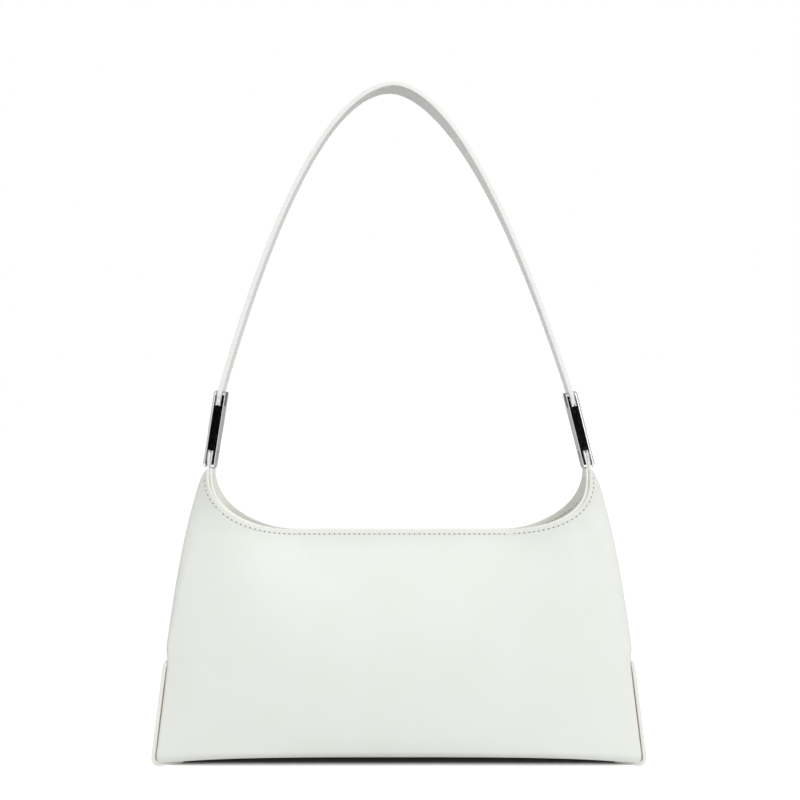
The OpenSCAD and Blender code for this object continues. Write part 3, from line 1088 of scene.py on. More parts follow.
@dataclass
class Shell:
    """Front and back panels, gussets and base, sewn of one leather, and the board on the base."""

    form: BagForm
    finishes: Finishes
    leather_t: float = 1.8
    edge: float = 0.62
    base_edge: float = 0.3
    droop: float = 3.0
    columns: int = 250
    rows: int = 84
    # Room that the gussets and the base leave to the panels they are sewn to.
    gusset_gap: float = 0.08
    base_gap: float = 0.1
    corner_gap: float = 0.4
    # How far the base hangs down in its middle, and how that fades towards the sides.
    sag: float = 0.5
    sag_power: int = 6
    board_t: float = 2.0
    board_gap: float = 0.15
    # The board's length and depth, as shares of the base's.
    board_length: float = 0.985
    board_depth: float = 0.96

    def build(self) -> list[Piece]:
        """Builds the shell and its board.

        Returns:
            The front and the back panel.
        """
        form = self.form
        hung = replace(form, droop=self.droop)
        front = self._panel(
            "shell_front", lambda u, v: (hung if u > 0 else form).front(u, crowd_up(v))
        )
        back = self._panel("shell_back", lambda u, v: turned_round(form.front(u, crowd_up(v))))
        right = surface_grid(
            "shell_gusset_right", 12, 70, lambda s, v: form.gusset(s, v, -self.gusset_gap)
        )
        thicken(right, self.leather_t, self.edge, True)
        left = mirror_copy(right, "shell_gusset_left")
        base = surface_grid("shell_base", 90, 24, self._base_place)
        thicken(base, self.leather_t, self.base_edge)
        for piece, node in (
            (front, "front_panel"), (back, "back_panel"), (right, "right_gusset"),
            (left, "left_gusset"), (base, "base_panel"),
        ):
            dress(piece, self.finishes.shell, "shell_leather", node)
        board = surface_grid("base_stiffener", 60, 12, self._board_place)
        thicken(board, self.board_t, 0)
        dress(board, self.finishes.board, "board", "base_board")
        return [front, back]

    def _panel(self, name: str, place: Place) -> Piece:
        """Builds one panel, with its cut edge rounded at the mouth."""
        sheet = surface_grid(name, self.columns, self.rows, place)
        return thicken(sheet, self.leather_t, self.edge, True)

    def _board_place(self, a: float, b: float) -> Vector:
        """Gives a point of the board's underside, which lies on the base."""
        point = self._base_place(a * self.board_length, b)
        rise = point.z + self.leather_t + self.board_gap + self.sag
        return Vector((point.x, point.y * self.board_depth, rise))

    def _base_place(self, a: float, b: float) -> Vector:
        """Gives a point of the base, whose outside faces down.

        Args:
            a: Share across, from -1 to 1.
            b: Share from the back to the front, from 0 to 1.

        Returns:
            The point in millimetres.
        """
        form = self.form
        reach = form.side_x(form.seam_z) - form.corner_r - self.corner_gap
        x = a * reach
        rise = form.arch(x)
        depth = form.half_depth(x, form.seam_z + rise) - form.under_turn - self.base_gap
        across = 1 - 2 * b
        sag = self.sag * (1 - across**2) * (1 - (x / reach) ** self.sag_power)
        return Vector((x, across * depth, form.seam_z + rise - sag))


@dataclass
class SidePatches:
    """Thick leather wrapped round the lower sides, on which the bag stands."""

    form: BagForm
    finishes: Finishes
    gap: float = 0.03
    # The bond is the fibrous back of the leather, which shows as a warm line at its edge.
    bond_t: float = 0.12
    leather_t: float = 2.25
    edge: float = 0.36
    # How far the edges of the leather and of the bond keep back from the bag's front and back.
    leather_inset: float = 0.1
    bond_inset: float = 0.12
    foot: float = 12
    foot_taper: float = 7
    foot_steps: int = 6
    corner_steps: int = 8
    side_steps: int = 30
    columns: int = 16
    # The top edge is skived by this share over its last millimetres.
    top_skive: float = 0.25
    top_run: float = 3

    def total(self) -> float:
        """Returns how far the patch's outside stands off the shell."""
        return self.gap + self.bond_t + self.leather_t

    def line(self, off: float) -> list[tuple[float, float, float]]:
        """Returns the patch's line from under the base round the corner and up.

        Args:
            off: Distance outwards from the shell.

        Returns:
            Points at most 2 mm apart: x, z and the share of the thickness, as the foot is skived.
        """
        form = self.form
        corner_z = form.seam_z + form.corner_r
        middle_x = form.side_x(corner_z) - form.corner_r
        skive = form.seam_z / self.total()
        points = [
            (middle_x - self.foot * (1 - i / self.foot_steps), form.seam_z - off * skive, skive)
            for i in range(self.foot_steps)
        ]
        for i in range(self.corner_steps + 1):
            angle = QUARTER * i / self.corner_steps
            share = mix(skive, 1, ease(i / self.corner_steps))
            radius = form.corner_r + off * share
            x, z = middle_x + radius * math.sin(angle), corner_z - radius * math.cos(angle)
            points.append((x, z, share))
        for i in range(1, self.side_steps + 1):
            z = mix(corner_z, form.patch_h, i / self.side_steps)
            skived = self.top_skive * ease((z - form.patch_h + self.top_run) / self.top_run)
            points.append((form.side_x(z) + off * (1 - skived), z, 1.0))
        return points

    def _layer(self, name: str, off: float, thickness: float, edge: float, inset: float) -> Piece:
        """Builds one layer of the right patch.

        Args:
            name: Name of the layer.
            off: Distance of its outside from the shell.
            thickness: Its thickness.
            edge: Radius of its edges.
            inset: How far its edges keep back from the bag's front and back.

        Returns:
            The layer.
        """
        line = self.line(off)
        last = len(line) - 1
        inner_x = line[self.foot_steps][0]

        def place(s: float, v: float) -> Vector:
            """Gives a point of the layer's outside."""
            x, z, _ = line[round(v * last)]
            taper = self.foot_taper * clamp((inner_x - x) / self.foot)
            return Vector((x, s * (self.form.side_y(z) - inset - taper), z))

        layer = surface_grid(name, self.columns, last, place)
        return thicken_rows(layer, self.columns, [share for _, _, share in line], thickness, edge)

    def build(self) -> list[Piece]:
        """Builds both patches.

        Returns:
            Their leather layers, the right one first.
        """
        right = self._layer(
            "side_patch_right", self.total(), self.leather_t, self.edge, self.leather_inset
        )
        bond = self._layer(
            "side_patch_bond_right", self.gap + self.bond_t, self.bond_t, 0, self.bond_inset
        )
        left = mirror_copy(right, "side_patch_left")
        bond_left = mirror_copy(bond, "side_patch_bond_left")
        for layer, node in ((right, "right_side_patch"), (left, "left_side_patch")):
            dress(layer, self.finishes.patch, "patch_leather", node)
        for layer in (bond, bond_left):
            dress(layer, self.finishes.raw_edge, "patch_leather")
        return [right, left]


@dataclass
class MouthFacing:
    """The inner ply behind the mouth's edge, in four sewn lengths round the bag."""

    form: BagForm
    finishes: Finishes
    inset: float = 1.86
    thickness: float = 1.3
    edge: float = 0.45
    low: float = 0.83
    # The inner ply of a bent pair reaches further, so its edge keeps back less.
    ply_shift: float = 2.3
    droop: float = 3.0
    reach_in: float = 1.6
    # The tab's outer ply lies between the gusset and its facing, which covers the tab's root.
    tab_room: float = 1.6
    root_cover: float = 2.4
    horn_gap: float = 0.05

    def build(self) -> list[Piece]:
        """Builds the facings.

        Returns:
            The front and the back facing.
        """
        form = replace(self.form, ply_shift=self.ply_shift, reach_in=self.reach_in)
        hung = replace(form, droop=self.droop)

        def inside(shape: BagForm, u: float, v: float) -> Vector:
            """Gives a point behind the front's upper part."""
            return shape.front(u, mix(self.low, 1, v), self.inset)

        def horn(s: float, v: float) -> Vector:
            """Gives a point behind the right gusset's upper part."""
            wider = mix(-self.horn_gap, self.root_cover, ease((v - 0.5) / 0.5))
            return form.gusset(s, mix(self.low, 1, v), wider, self.inset + self.tab_room * ease(v))

        plies = [
            thicken(surface_grid(name, columns, rows, place), self.thickness, self.edge, True)
            for name, columns, rows, place in (
                ("facing_front", 230, 22, lambda u, v: inside(hung if u > 0 else form, u, v)),
                ("facing_back", 230, 22, lambda u, v: turned_round(inside(form, u, v))),
                ("facing_horn_right", 8, 20, horn),
            )
        ]
        plies.append(mirror_copy(plies[-1], "facing_horn_left"))
        nodes = ("front_facing", "back_facing", "right_tab_facing", "left_tab_facing")
        for ply, node in zip(plies, nodes):
            dress(ply, self.finishes.facing, "facing_leather", node)
        return plies[:2]


@dataclass
class Stitching:
    """Lockstitch rows in bonded thread, with a needle hole between the stitches, drawn as a dark
    disc of painted shade.
    """

    finishes: Finishes
    pitch: float = 3.1
    length: float = 2.3
    width: float = 0.55
    height: float = 0.34
    # Shares of the length from the middle where the thread narrows and where its ends begin.
    narrow_from: float = 0.3
    end_from: float = 0.4
    # A stitch's ends are narrower and flatter, and dip into the leather.
    end_width: float = 0.55
    end_height: float = 0.5
    dip: float = 0.14
    # How far a stitch's middle lies off the leather's face.
    lie: float = 0.06
    hole_r: float = 0.42
    hole_t: float = 0.08
    hole_edge: float = 0.02

    def _stitch(self) -> Piece:
        """Models one stitch: a short thread whose ends dip into the leather.

        Returns:
            The stitch, along X.
        """
        stitch = primitive(
            "stitch", bpy.ops.mesh.primitive_cylinder_add,
            vertices=8, radius=self.width / 2 * MM, depth=self.length * MM,
        )
        stitch.data.transform(Matrix.Rotation(QUARTER, 4, "Y"))
        cut = self.narrow_from * self.length * MM
        edit_all(
            stitch,
            lambda: bpy.ops.mesh.bisect(plane_co=(cut, 0, 0), plane_no=(1, 0, 0)),
            lambda: bpy.ops.mesh.select_all(action="SELECT"),
            lambda: bpy.ops.mesh.bisect(plane_co=(-cut, 0, 0), plane_no=(1, 0, 0)),
        )
        flat = self.height / self.width
        for vertex in stitch.data.vertices:
            end = abs(vertex.co.x) > self.end_from * self.length * MM
            vertex.co.y *= self.end_width if end else 1.0
            vertex.co.z *= flat * (self.end_height if end else 1.0)
            vertex.co.z -= (self.dip if end else 0.0) * MM
        return stitch

    def _hole(self, radius: float) -> Piece:
        """Models one needle hole as a thin dark disc on the face, which is painted shade.

        Args:
            radius: Its radius.

        Returns:
            The hole, facing up.
        """
        hole = primitive(
            "hole", bpy.ops.mesh.primitive_cylinder_add,
            vertices=10, radius=radius * MM, depth=self.hole_t * MM,
        )
        edit_all(hole, lambda: bpy.ops.mesh.bevel(offset=self.hole_edge * MM, segments=1))
        return hole

    def sew(
        self, name: str, path: Sequence[Vector], leather: Piece, slot: str,
        hole_r: float | None = None,
    ) -> None:
        """Sews a row along a path, its threads joined into one piece and the painted shade of its
        holes into another.

        Args:
            name: Name of the row.
            path: Points in millimetres near the leather's face.
            leather: The piece whose face carries the row.
            slot: The record's slot of that leather.
            hole_r: Radius of its needle holes, if it isn't the usual one.
        """
        stitch, hole = self._stitch(), self._hole(hole_r or self.hole_r)
        threads: list[Piece] = []
        holes: list[Piece] = []
        for point, along in self._spots(path):
            found, face, normal, _ = leather.closest_point_on_mesh(point * MM)
            if not found:
                continue
            frame = self._frame(face, along, normal)
            holes.append(moved_copy(hole, frame @ Matrix.Translation((self.pitch / 2 * MM, 0, 0))))
            threads.append(moved_copy(stitch, frame @ Matrix.Translation((0, 0, self.lie * MM))))
        for part in (stitch, hole):
            bpy.data.objects.remove(part)
        thread = shade(joined(threads, name + "_thread"), 50)
        # The holes' dark discs are painted shade.
        pits = joined(holes, name + "_holes")
        dress(thread, self.finishes.thread, slot)
        dress(pits, self.finishes.hole, slot)

    def _spots(self, path: Sequence[Vector]) -> list[tuple[Vector, Vector]]:
        """Spaces a row's stitches evenly along a path.

        Args:
            path: Points in millimetres.

        Returns:
            The stitches' places, each with the path's direction there.
        """
        spots: list[tuple[Vector, Vector]] = []
        left = self.pitch / 2
        for first, last in zip(path, path[1:]):
            step = (last - first).length
            if step < 1e-9:
                continue
            along = (last - first) / step
            while left <= step:
                spots.append((first + along * left, along))
                left += self.pitch
            left -= step
        return spots

    def _frame(self, point: Vector, along: Vector, normal: Vector) -> Matrix:
        """Finds how a part is laid on the leather.

        Args:
            point: Its place on the face.
            along: The row's direction there.
            normal: The face's normal there.

        Returns:
            The matrix that lays X along the row and Z off the face.
        """
        up = normal.normalized()
        across = up.cross(along).normalized()
        forward = across.cross(up)
        turn = Matrix((forward, across, up)).transposed().to_4x4()
        return Matrix.Translation(point) @ turn


@dataclass
class RimRows:
    """The stitch rows round the mouth, at one distance from its edge."""

    form: BagForm
    stitching: Stitching
    inset: float = 2.6
    horn_inset: float = 2.7
    # Where along the edge the row's distance changes to the horns'.
    change_from: float = 0.35
    change_run: float = 0.2
    # Half the step along the edge, and the share of the height, from which its run is read.
    half_step: float = 0.004
    below: float = 0.99
    top_share: float = 0.875
    droop: float = 3.0
    steps: int = 260
    # The inside row is found from the outside one, moved through the plies.
    plies_t: float = 4.2
    inside_hole_r: float = 0.3

    def path(self, hung: bool) -> list[Vector]:
        """Returns a row on the front's outside, from the left horn to the right one.

        Args:
            hung: Whether the edge hangs out at its right, as the front one does.

        Returns:
            Points in millimetres.
        """
        right = replace(self.form, droop=self.droop if hung else 0)
        points: list[Vector] = []
        for i in range(self.steps + 1):
            u = mix(-self.top_share, self.top_share, i / self.steps)
            form = right if u > 0 else self.form
            edge = form.front(u, 1)
            before, after = form.front(u - self.half_step, 1), form.front(u + self.half_step, 1)
            along = (after - before).normalized()
            down = (form.front(u, self.below) - edge).normalized()
            inward = (down - along * down.dot(along)).normalized()
            share = ease((abs(u) - self.change_from) / self.change_run)
            inset = mix(self.inset, self.horn_inset, share)
            points.append(edge + inward * inset)
        return points

    def build(self, shells: Sequence[Piece], facings: Sequence[Piece]) -> None:
        """Sews the row on the outside and the inside of both edges.

        Args:
            shells: Front and back panel.
            facings: Front and back facing.
        """
        sew = self.stitching.sew
        back = [turned_round(point) for point in self.path(False)]
        for label, row, shell, facing, way in zip(
            ("front", "back"), (self.path(True), back), shells, facings, (1, -1)
        ):
            sew(f"rim_{label}_outside", row, shell, "shell_leather")
            inside = [point + Vector((0, way * self.plies_t, 0)) for point in row]
            sew(f"rim_{label}_inside", inside, facing, "facing_leather", self.inside_hole_r)


@dataclass
class PatchRows:
    """Stitches that hold the side patches, round their top and along their edges."""

    patches: SidePatches
    stitching: Stitching
    inset: float = 3.0
    low: float = 8

    def build(self, leathers: Sequence[Piece]) -> None:
        """Sews one row on each patch.

        Args:
            leathers: The right and the left patch.
        """
        patches = self.patches
        top = patches.form.patch_h - self.inset
        line = [(x, z) for x, z, _ in patches.line(patches.total()) if self.low < z < top]
        up = [Vector((x, self.inset - patches.form.side_y(z), z)) for x, z in line]
        row = up + [Vector((p.x, -p.y, p.z)) for p in reversed(up)]
        for (side, name), leather in zip(SIDES, leathers):
            path = [Vector((side * p.x, p.y, p.z)) for p in row]
            self.stitching.sew(f"patch_row_{name}", path, leather, "patch_leather")


@dataclass
class Lining:
    """Loose twill bag inside the shell, of four walls and a floor."""

    form: BagForm
    finishes: Finishes
    inset: float = 2.35
    cloth_t: float = 0.7
    low: float = 0.045
    high: float = 0.84
    # The front and back walls' share of the panels' width, and the room at the side walls' edges.
    reach: float = 0.955
    side_gap: float = 0.6
    floor_rise: float = 5.2
    floor_z: float = 8
    floor_side_gap: float = 6
    floor_gap: float = 3.6
    # Depth and pace of the cloth's broad waves and of its fine ripples, which start elsewhere.
    wave_depth: float = 0.55
    wave_pace: float = 23
    ripple_depth: float = 0.25
    ripple_pace: float = 47
    ripple_start: float = 2

    def build(self) -> None:
        """Builds the walls and the floor of the lining."""
        front = surface_grid("lining_front_wall", 130, 34, self._hang)
        front_area = flat_area(front)
        thicken(front, self.cloth_t, 0)
        back = mirror_copy(front, "lining_back_wall", 1)
        right = surface_grid("lining_right_wall", 8, 34, self._side_place)
        side_area = flat_area(right)
        thicken(right, self.cloth_t, 0)
        left = mirror_copy(right, "lining_left_wall")
        floor = surface_grid("lining_floor", 60, 20, self._floor_place)
        floor_area = flat_area(floor)
        thicken(floor, self.cloth_t, 0)
        wide, narrow, facings = (0.292, 0.165), (0.058, 0.15), ["facing_front", "facing_back"]
        for sheet, node, flat, held, rests_on, area in (
            (front, "lining_front", wide, "hung", facings[:1], front_area),
            (back, "lining_back", wide, "hung", facings[1:], front_area),
            (right, "lining_right", narrow, "hung", facings, side_area),
            (left, "lining_left", narrow, "hung", facings, side_area),
            (floor, "lining_base", (0.285, 0.062), "laid", ["base_stiffener"], floor_area),
        ):
            dress(sheet, self.finishes.lining, "lining", node)

    def _hang(self, across: float, v: float) -> Vector:
        """Gives a point of the front wall, which hangs in slight waves.

        Args:
            across: Share across, from -1 to 1.
            v: Share up, from 0 to 1.

        Returns:
            The point in millimetres.
        """
        u = across * self.reach
        point = self.form.front(u, mix(self.low, self.high, v), self.inset)
        broad = self.wave_depth * math.sin(u * self.wave_pace) * math.sin(math.pi * v)
        ripple = math.sin(u * self.ripple_pace + self.ripple_start)
        fine = self.ripple_depth * ripple * v * (1 - v)
        point.y += abs(broad + fine)
        return point

    def _side_place(self, s: float, v: float) -> Vector:
        """Gives a point of the right wall."""
        return self.form.gusset(s, mix(self.low, self.high, v), -self.side_gap, self.inset)

    def _floor_place(self, a: float, b: float) -> Vector:
        """Gives a point of the floor.

        Args:
            a: Share across, from -1 to 1.
            b: Share from the front to the back, from 0 to 1.

        Returns:
            The point in millimetres.
        """
        form = self.form
        x = a * (form.side_x(self.floor_z) - self.floor_side_gap)
        depth = form.half_depth(x, self.floor_z) - self.floor_gap
        rise = form.seam_z + self.floor_rise + form.arch(x) + self.cloth_t
        return Vector((x, (2 * b - 1) * depth, rise))


@dataclass
class Pocket:
    """Open pocket on the back wall of the lining, bound with leather at its mouth."""

    form: BagForm
    finishes: Finishes
    low: float = 0.16
    high: float = 0.56
    reach: float = 0.38
    cloth_inset: float = 3.6
    binding_inset: float = 3.5
    cloth_t: float = 0.7
    binding_t: float = 1.4
    binding_edge: float = 0.4
    # How far the binding reaches under and over the cloth's top, as shares of the height.
    binding_low: float = 0.01
    binding_high: float = 0.045
    # How far the cloth stands off between its bottom and its mouth.
    belly: float = 0.3

    def build(self) -> None:
        """Builds the pocket and its binding."""

        def cloth(u: float, v: float) -> Vector:
            """Gives a point of the pocket's wall."""
            point = self._on_back(u, mix(self.low, self.high, v), self.cloth_inset)
            point.y -= self.belly * math.sin(math.pi * v)
            return point

        def strip(u: float, v: float) -> Vector:
            """Gives a point of the binding."""
            up = mix(self.high - self.binding_low, self.high + self.binding_high, v)
            return self._on_back(u, up, self.binding_inset)

        wall = surface_grid("pocket_wall", 50, 24, cloth)
        thicken(wall, self.cloth_t, 0)
        dress(wall, self.finishes.lining, "lining", "inner_pocket")
        binding = surface_grid("pocket_edge", 50, 6, strip)
        thicken(binding, self.binding_t, self.binding_edge)
        dress(binding, self.finishes.facing, "facing_leather", "pocket_binding")

    def _on_back(self, u: float, v: float, inset: float) -> Vector:
        """Gives a point inside the back, in the pocket's width."""
        point = self.form.front(-u * self.reach, v, inset)
        return Vector((point.x, -point.y, point.z))


@dataclass
class Handle:
    """The line of the strap and the frames of its links, from the CAD's sizes."""

    half_pin: float = 115.758
    pin_z: float = 189.148
    lower_pin: float = 12.4
    upper_pin: float = 37.9
    link_l: float = 47.3
    shift: float = 0.6
    angle_left: float = 8.8
    angle_right: float = 14
    top_h: float = 415.9
    # The crown lies this much lower than the CAD's, as it bends more tightly there.
    crown_drop: float = 0.5
    ply_t: float = 1.3
    ply_gap: float = 0.06
    sway: float = 4.1
    power_left: float = 1.96
    power_right: float = 1.8
    width: float = 21
    end_width: float = 14.6
    # The twist in degrees, at its greatest three quarters of the way up.
    twist: float = 4.5
    twist_peak: float = 0.75
    # Half the step along the arch from which its direction is read.
    half_step: float = 0.01

    def lean(self, side: int) -> float:
        """Returns the lean of the link on that side, in radians."""
        return math.radians(self.angle_left if side < 0 else self.angle_right)

    def link_point(self, side: int, x: float, z: float) -> tuple[float, float]:
        """Turns a point of a link's frame into the bag's.

        Args:
            side: -1 for the left link, 1 for the right one.
            x: Distance outwards from the link's middle.
            z: Height over the link's lower end.

        Returns:
            Its x and z in the bag's frame.
        """
        sine, cosine = math.sin(self.lean(side)), math.cos(self.lean(side))
        up = z - self.lower_pin
        return (
            side * self.half_pin - self.shift + side * cosine * x - side * sine * up,
            self.pin_z + sine * x + cosine * up,
        )

    def link_matrix(self, side: int) -> Matrix:
        """Returns the matrix from a link's frame, in metres, to the bag's frame."""
        origin = self.link_point(side, 0, 0)
        place = Matrix.Translation(Vector((origin[0], 0, origin[1])) * MM)
        return place @ Matrix.Rotation(-side * self.lean(side), 4, "Y")

    def arch(self, side: int, k: float) -> tuple[float, float]:
        """Gives a point of the strap's middle line.

        Args:
            side: -1 for the left half, 1 for the right one.
            k: Share of the way from the link to the crown.

        Returns:
            Its x and z.
        """
        crown_x, crown_z = -self.sway, self.top_h - self.crown_drop - self.ply_t - self.ply_gap / 2
        foot_x, foot_z = self.link_point(side, 0, self.link_l)
        way = 1 - k
        power = self.power_left if side < 0 else self.power_right
        return mix(crown_x, foot_x, way), mix(crown_z, foot_z, way**power)

    def arch_offset(self, side: int, k: float, off: float) -> tuple[float, float]:
        """Gives a point beside the strap's middle line.

        Args:
            side: -1 for the left half, 1 for the right one.
            k: Share of the way from the link to the crown.
            off: Distance outwards from the line.

        Returns:
            Its x and z.
        """
        x0, z0 = self.arch(side, max(k - self.half_step, 0))
        x1, z1 = self.arch(side, min(k + self.half_step, 1))
        span = math.hypot(x1 - x0, z1 - z0)
        dx, dz = (x1 - x0) / span, (z1 - z0) / span
        x, z = self.arch(side, k)
        return x + side * dz * off, z - side * dx * off

    def half_width(self, k: float) -> float:
        """Returns the strap's half width along the arch."""
        return mix(self.end_width, self.width, ease(k)) / 2

    def twist_at(self, side: int, k: float) -> float:
        """Returns the strap's twist along the arch, in radians."""
        share = k**3 * (1 - k) / (self.twist_peak**3 * (1 - self.twist_peak))
        return math.radians(-side * self.twist * share)


@dataclass(frozen=True)
class Ring:
    """One cross line of a strip: its middle, half width, thickness, twist and shift back."""

    x: float
    z: float
    half: float
    thick: float
    twist: float = 0
    shift: float = 0


def leather_strip(name: str, rings: Sequence[Ring], edge: float, columns: int = 10) -> Piece:
    """Builds a strip of leather along its rings, closed and with rounded edges.

    Args:
        name: Name of the piece.
        rings: The rings in order, with the strip's outside on the left of the way along them.
        edge: Radius of its long edges.
        columns: Faces across its width.

    Returns:
        The piece.
    """
    last = len(rings) - 1

    def place(a: float, b: float) -> Vector:
        """Gives a point of the strip's outside.

        Args:
            a: Share across, from -1 to 1.
            b: Share along, from 0 to 1.

        Returns:
            The point in millimetres.
        """
        i = round(b * last)
        ring, before, after = rings[i], rings[max(i - 1, 0)], rings[min(i + 1, last)]
        dx, dz = after.x - before.x, after.z - before.z
        span = math.hypot(dx, dz)
        across = ring.shift + a * ring.half
        rise = ring.thick / 2 - across * math.sin(ring.twist)
        y = across * math.cos(ring.twist)
        return Vector((ring.x + dz / span * rise, y, ring.z - dx / span * rise))

    most = max(ring.thick for ring in rings)
    strip = surface_grid(name, columns, last, place)
    return thicken_rows(strip, columns, [ring.thick / most for ring in rings], most, edge)


def over_crown(half: Callable[[int], list[Ring]]) -> list[Ring]:
    """Joins the left (-1) and the right (1) half of a strip at the crown, whose ring they share."""
    return half(-1) + half(1)[-2::-1]


@dataclass
class Strap:
    """Two plies of leather from link to link. The outer one folds round each upper pin."""

    handle: Handle
    finishes: Finishes
    pin_r: float = 0.8
    pin_gap: float = 0.1
    skive_t: float = 0.95
    fold_w: float = 12.8
    close_h: float = 2.8
    # The inner ply starts a little before the arch, and the folded tail ends at this height.
    tail_k: float = -0.008
    tail_up: float = 6.0
    flare_up: float = 5
    edge: float = 0.3
    # The coat of edge paint covers both plies and stands proud of them all round.
    bead_w: float = 0.8
    bead_edge: float = 0.35
    bead_proud: float = 0.14
    bead_out: float = 0.12
    # On each leg the paint starts where the plies close, ends this much before the arch, and
    # goes on from this share of the arch.
    bead_stop: float = 0.4
    bead_start: float = 0.001
    steps: int = 110
    leg_steps: int = 8
    bead_steps: int = 5

    def build(self) -> None:
        """Builds both plies and the edge paint that seals them along their long edges."""
        middle = (self.handle.ply_t + self.handle.ply_gap) / 2
        outer = over_crown(lambda side: self._fold(side, middle) + self._arch(side, middle, 0))
        inner = over_crown(lambda side: self._arch(side, -middle, self.tail_k))
        front = over_crown(lambda side: self._edge(side, -1))
        back = over_crown(lambda side: self._edge(side, 1))
        for name, rings, edge, columns, nodes in (
            ("strap_outer_ply", outer, self.edge, 10, ["strap_outer"]),
            ("strap_inner_ply", inner, self.edge, 10, ["strap_inner"]),
            ("strap_edge_front", front, self.bead_edge, 2, []),
            ("strap_edge_back", back, self.bead_edge, 2, []),
        ):
            piece = leather_strip(name, rings, edge, columns)
            dress(piece, self.finishes.strap, "strap_leather", *nodes, body="handle")

    def _leg_half(self, up: float) -> float:
        """Returns the half width at a height over the upper pin, inside the link."""
        rise = self.handle.link_l - self.handle.upper_pin
        share = ease((up - self.flare_up) / (rise - self.flare_up))
        return mix(self.fold_w, self.handle.end_width, share) / 2

    def _edge(self, side: int, way: int) -> list[Ring]:
        """Returns one half of the edge paint's line, from the link to the crown.

        Args:
            side: -1 for the left half, 1 for the right one.
            way: -1 for the front edge, 1 for the back one.

        Returns:
            The rings.
        """
        handle = self.handle
        rise = handle.link_l - handle.upper_pin
        thick = 2 * handle.ply_t + handle.ply_gap + self.bead_proud

        def ring(point: tuple[float, float], twist: float, half: float) -> Ring:
            """Returns a ring at a point where the plies have this twist and half width."""
            shift = way * (half - self.bead_w / 2 + self.bead_out)
            return Ring(*point, self.bead_w / 2, thick, twist, shift)

        rings = []
        for i in range(self.bead_steps + 1):
            up = mix(self.close_h, rise - self.bead_stop, i / self.bead_steps)
            point = handle.link_point(side, 0, handle.upper_pin + up)
            rings.append(ring(point, 0, self._leg_half(up)))
        for i in range(self.steps + 1):
            k = mix(self.bead_start, 1, i / self.steps)
            rings.append(ring(handle.arch(side, k), handle.twist_at(side, k), handle.half_width(k)))
        return rings

    def _arch(self, side: int, off: float, start: float) -> list[Ring]:
        """Returns one half of a ply, from the link to the crown.

        Args:
            side: -1 for the left half, 1 for the right one.
            off: Distance outwards from the strap's middle.
            start: Share of the way at which it starts.

        Returns:
            The rings.
        """
        handle = self.handle
        rings = []
        for i in range(self.steps + 1):
            k = mix(start, 1, i / self.steps)
            x, z = handle.arch_offset(side, k, off)
            rings.append(Ring(x, z, handle.half_width(k), handle.ply_t, handle.twist_at(side, k)))
        return rings

    def _fold(self, side: int, middle: float) -> list[Ring]:
        """Returns the outer ply's end, which goes round the pin and up again inside.

        Args:
            side: -1 for the left link, 1 for the right one.
            middle: Distance of the closed plies' middles from the strap's.

        Returns:
            The rings, from the tail to just before the arch.
        """
        handle = self.handle
        around = self.pin_r + self.pin_gap + self.skive_t / 2
        rise = handle.link_l - handle.upper_pin

        def ring(off: float, up: float, half: float, thick: float) -> Ring:
            """Returns a ring at a distance off the link's middle and over its upper pin."""
            return Ring(*handle.link_point(side, off, handle.upper_pin + up), half, thick)

        legs = []
        for i in range(self.leg_steps):
            up = rise * i / self.leg_steps
            shut = ease(up / self.close_h)
            off, thick = mix(around, middle, shut), mix(self.skive_t, handle.ply_t, shut)
            legs.append((off, up, self._leg_half(up), thick))
        tail = [ring(-off, *rest) for off, *rest in reversed(legs) if rest[0] < self.tail_up]
        half = self.fold_w / 2
        bend = [
            ring(-around * math.cos(angle), -around * math.sin(angle), half, self.skive_t)
            for angle in FOLD_ANGLES
        ]
        return tail + bend + [ring(*leg) for leg in legs]


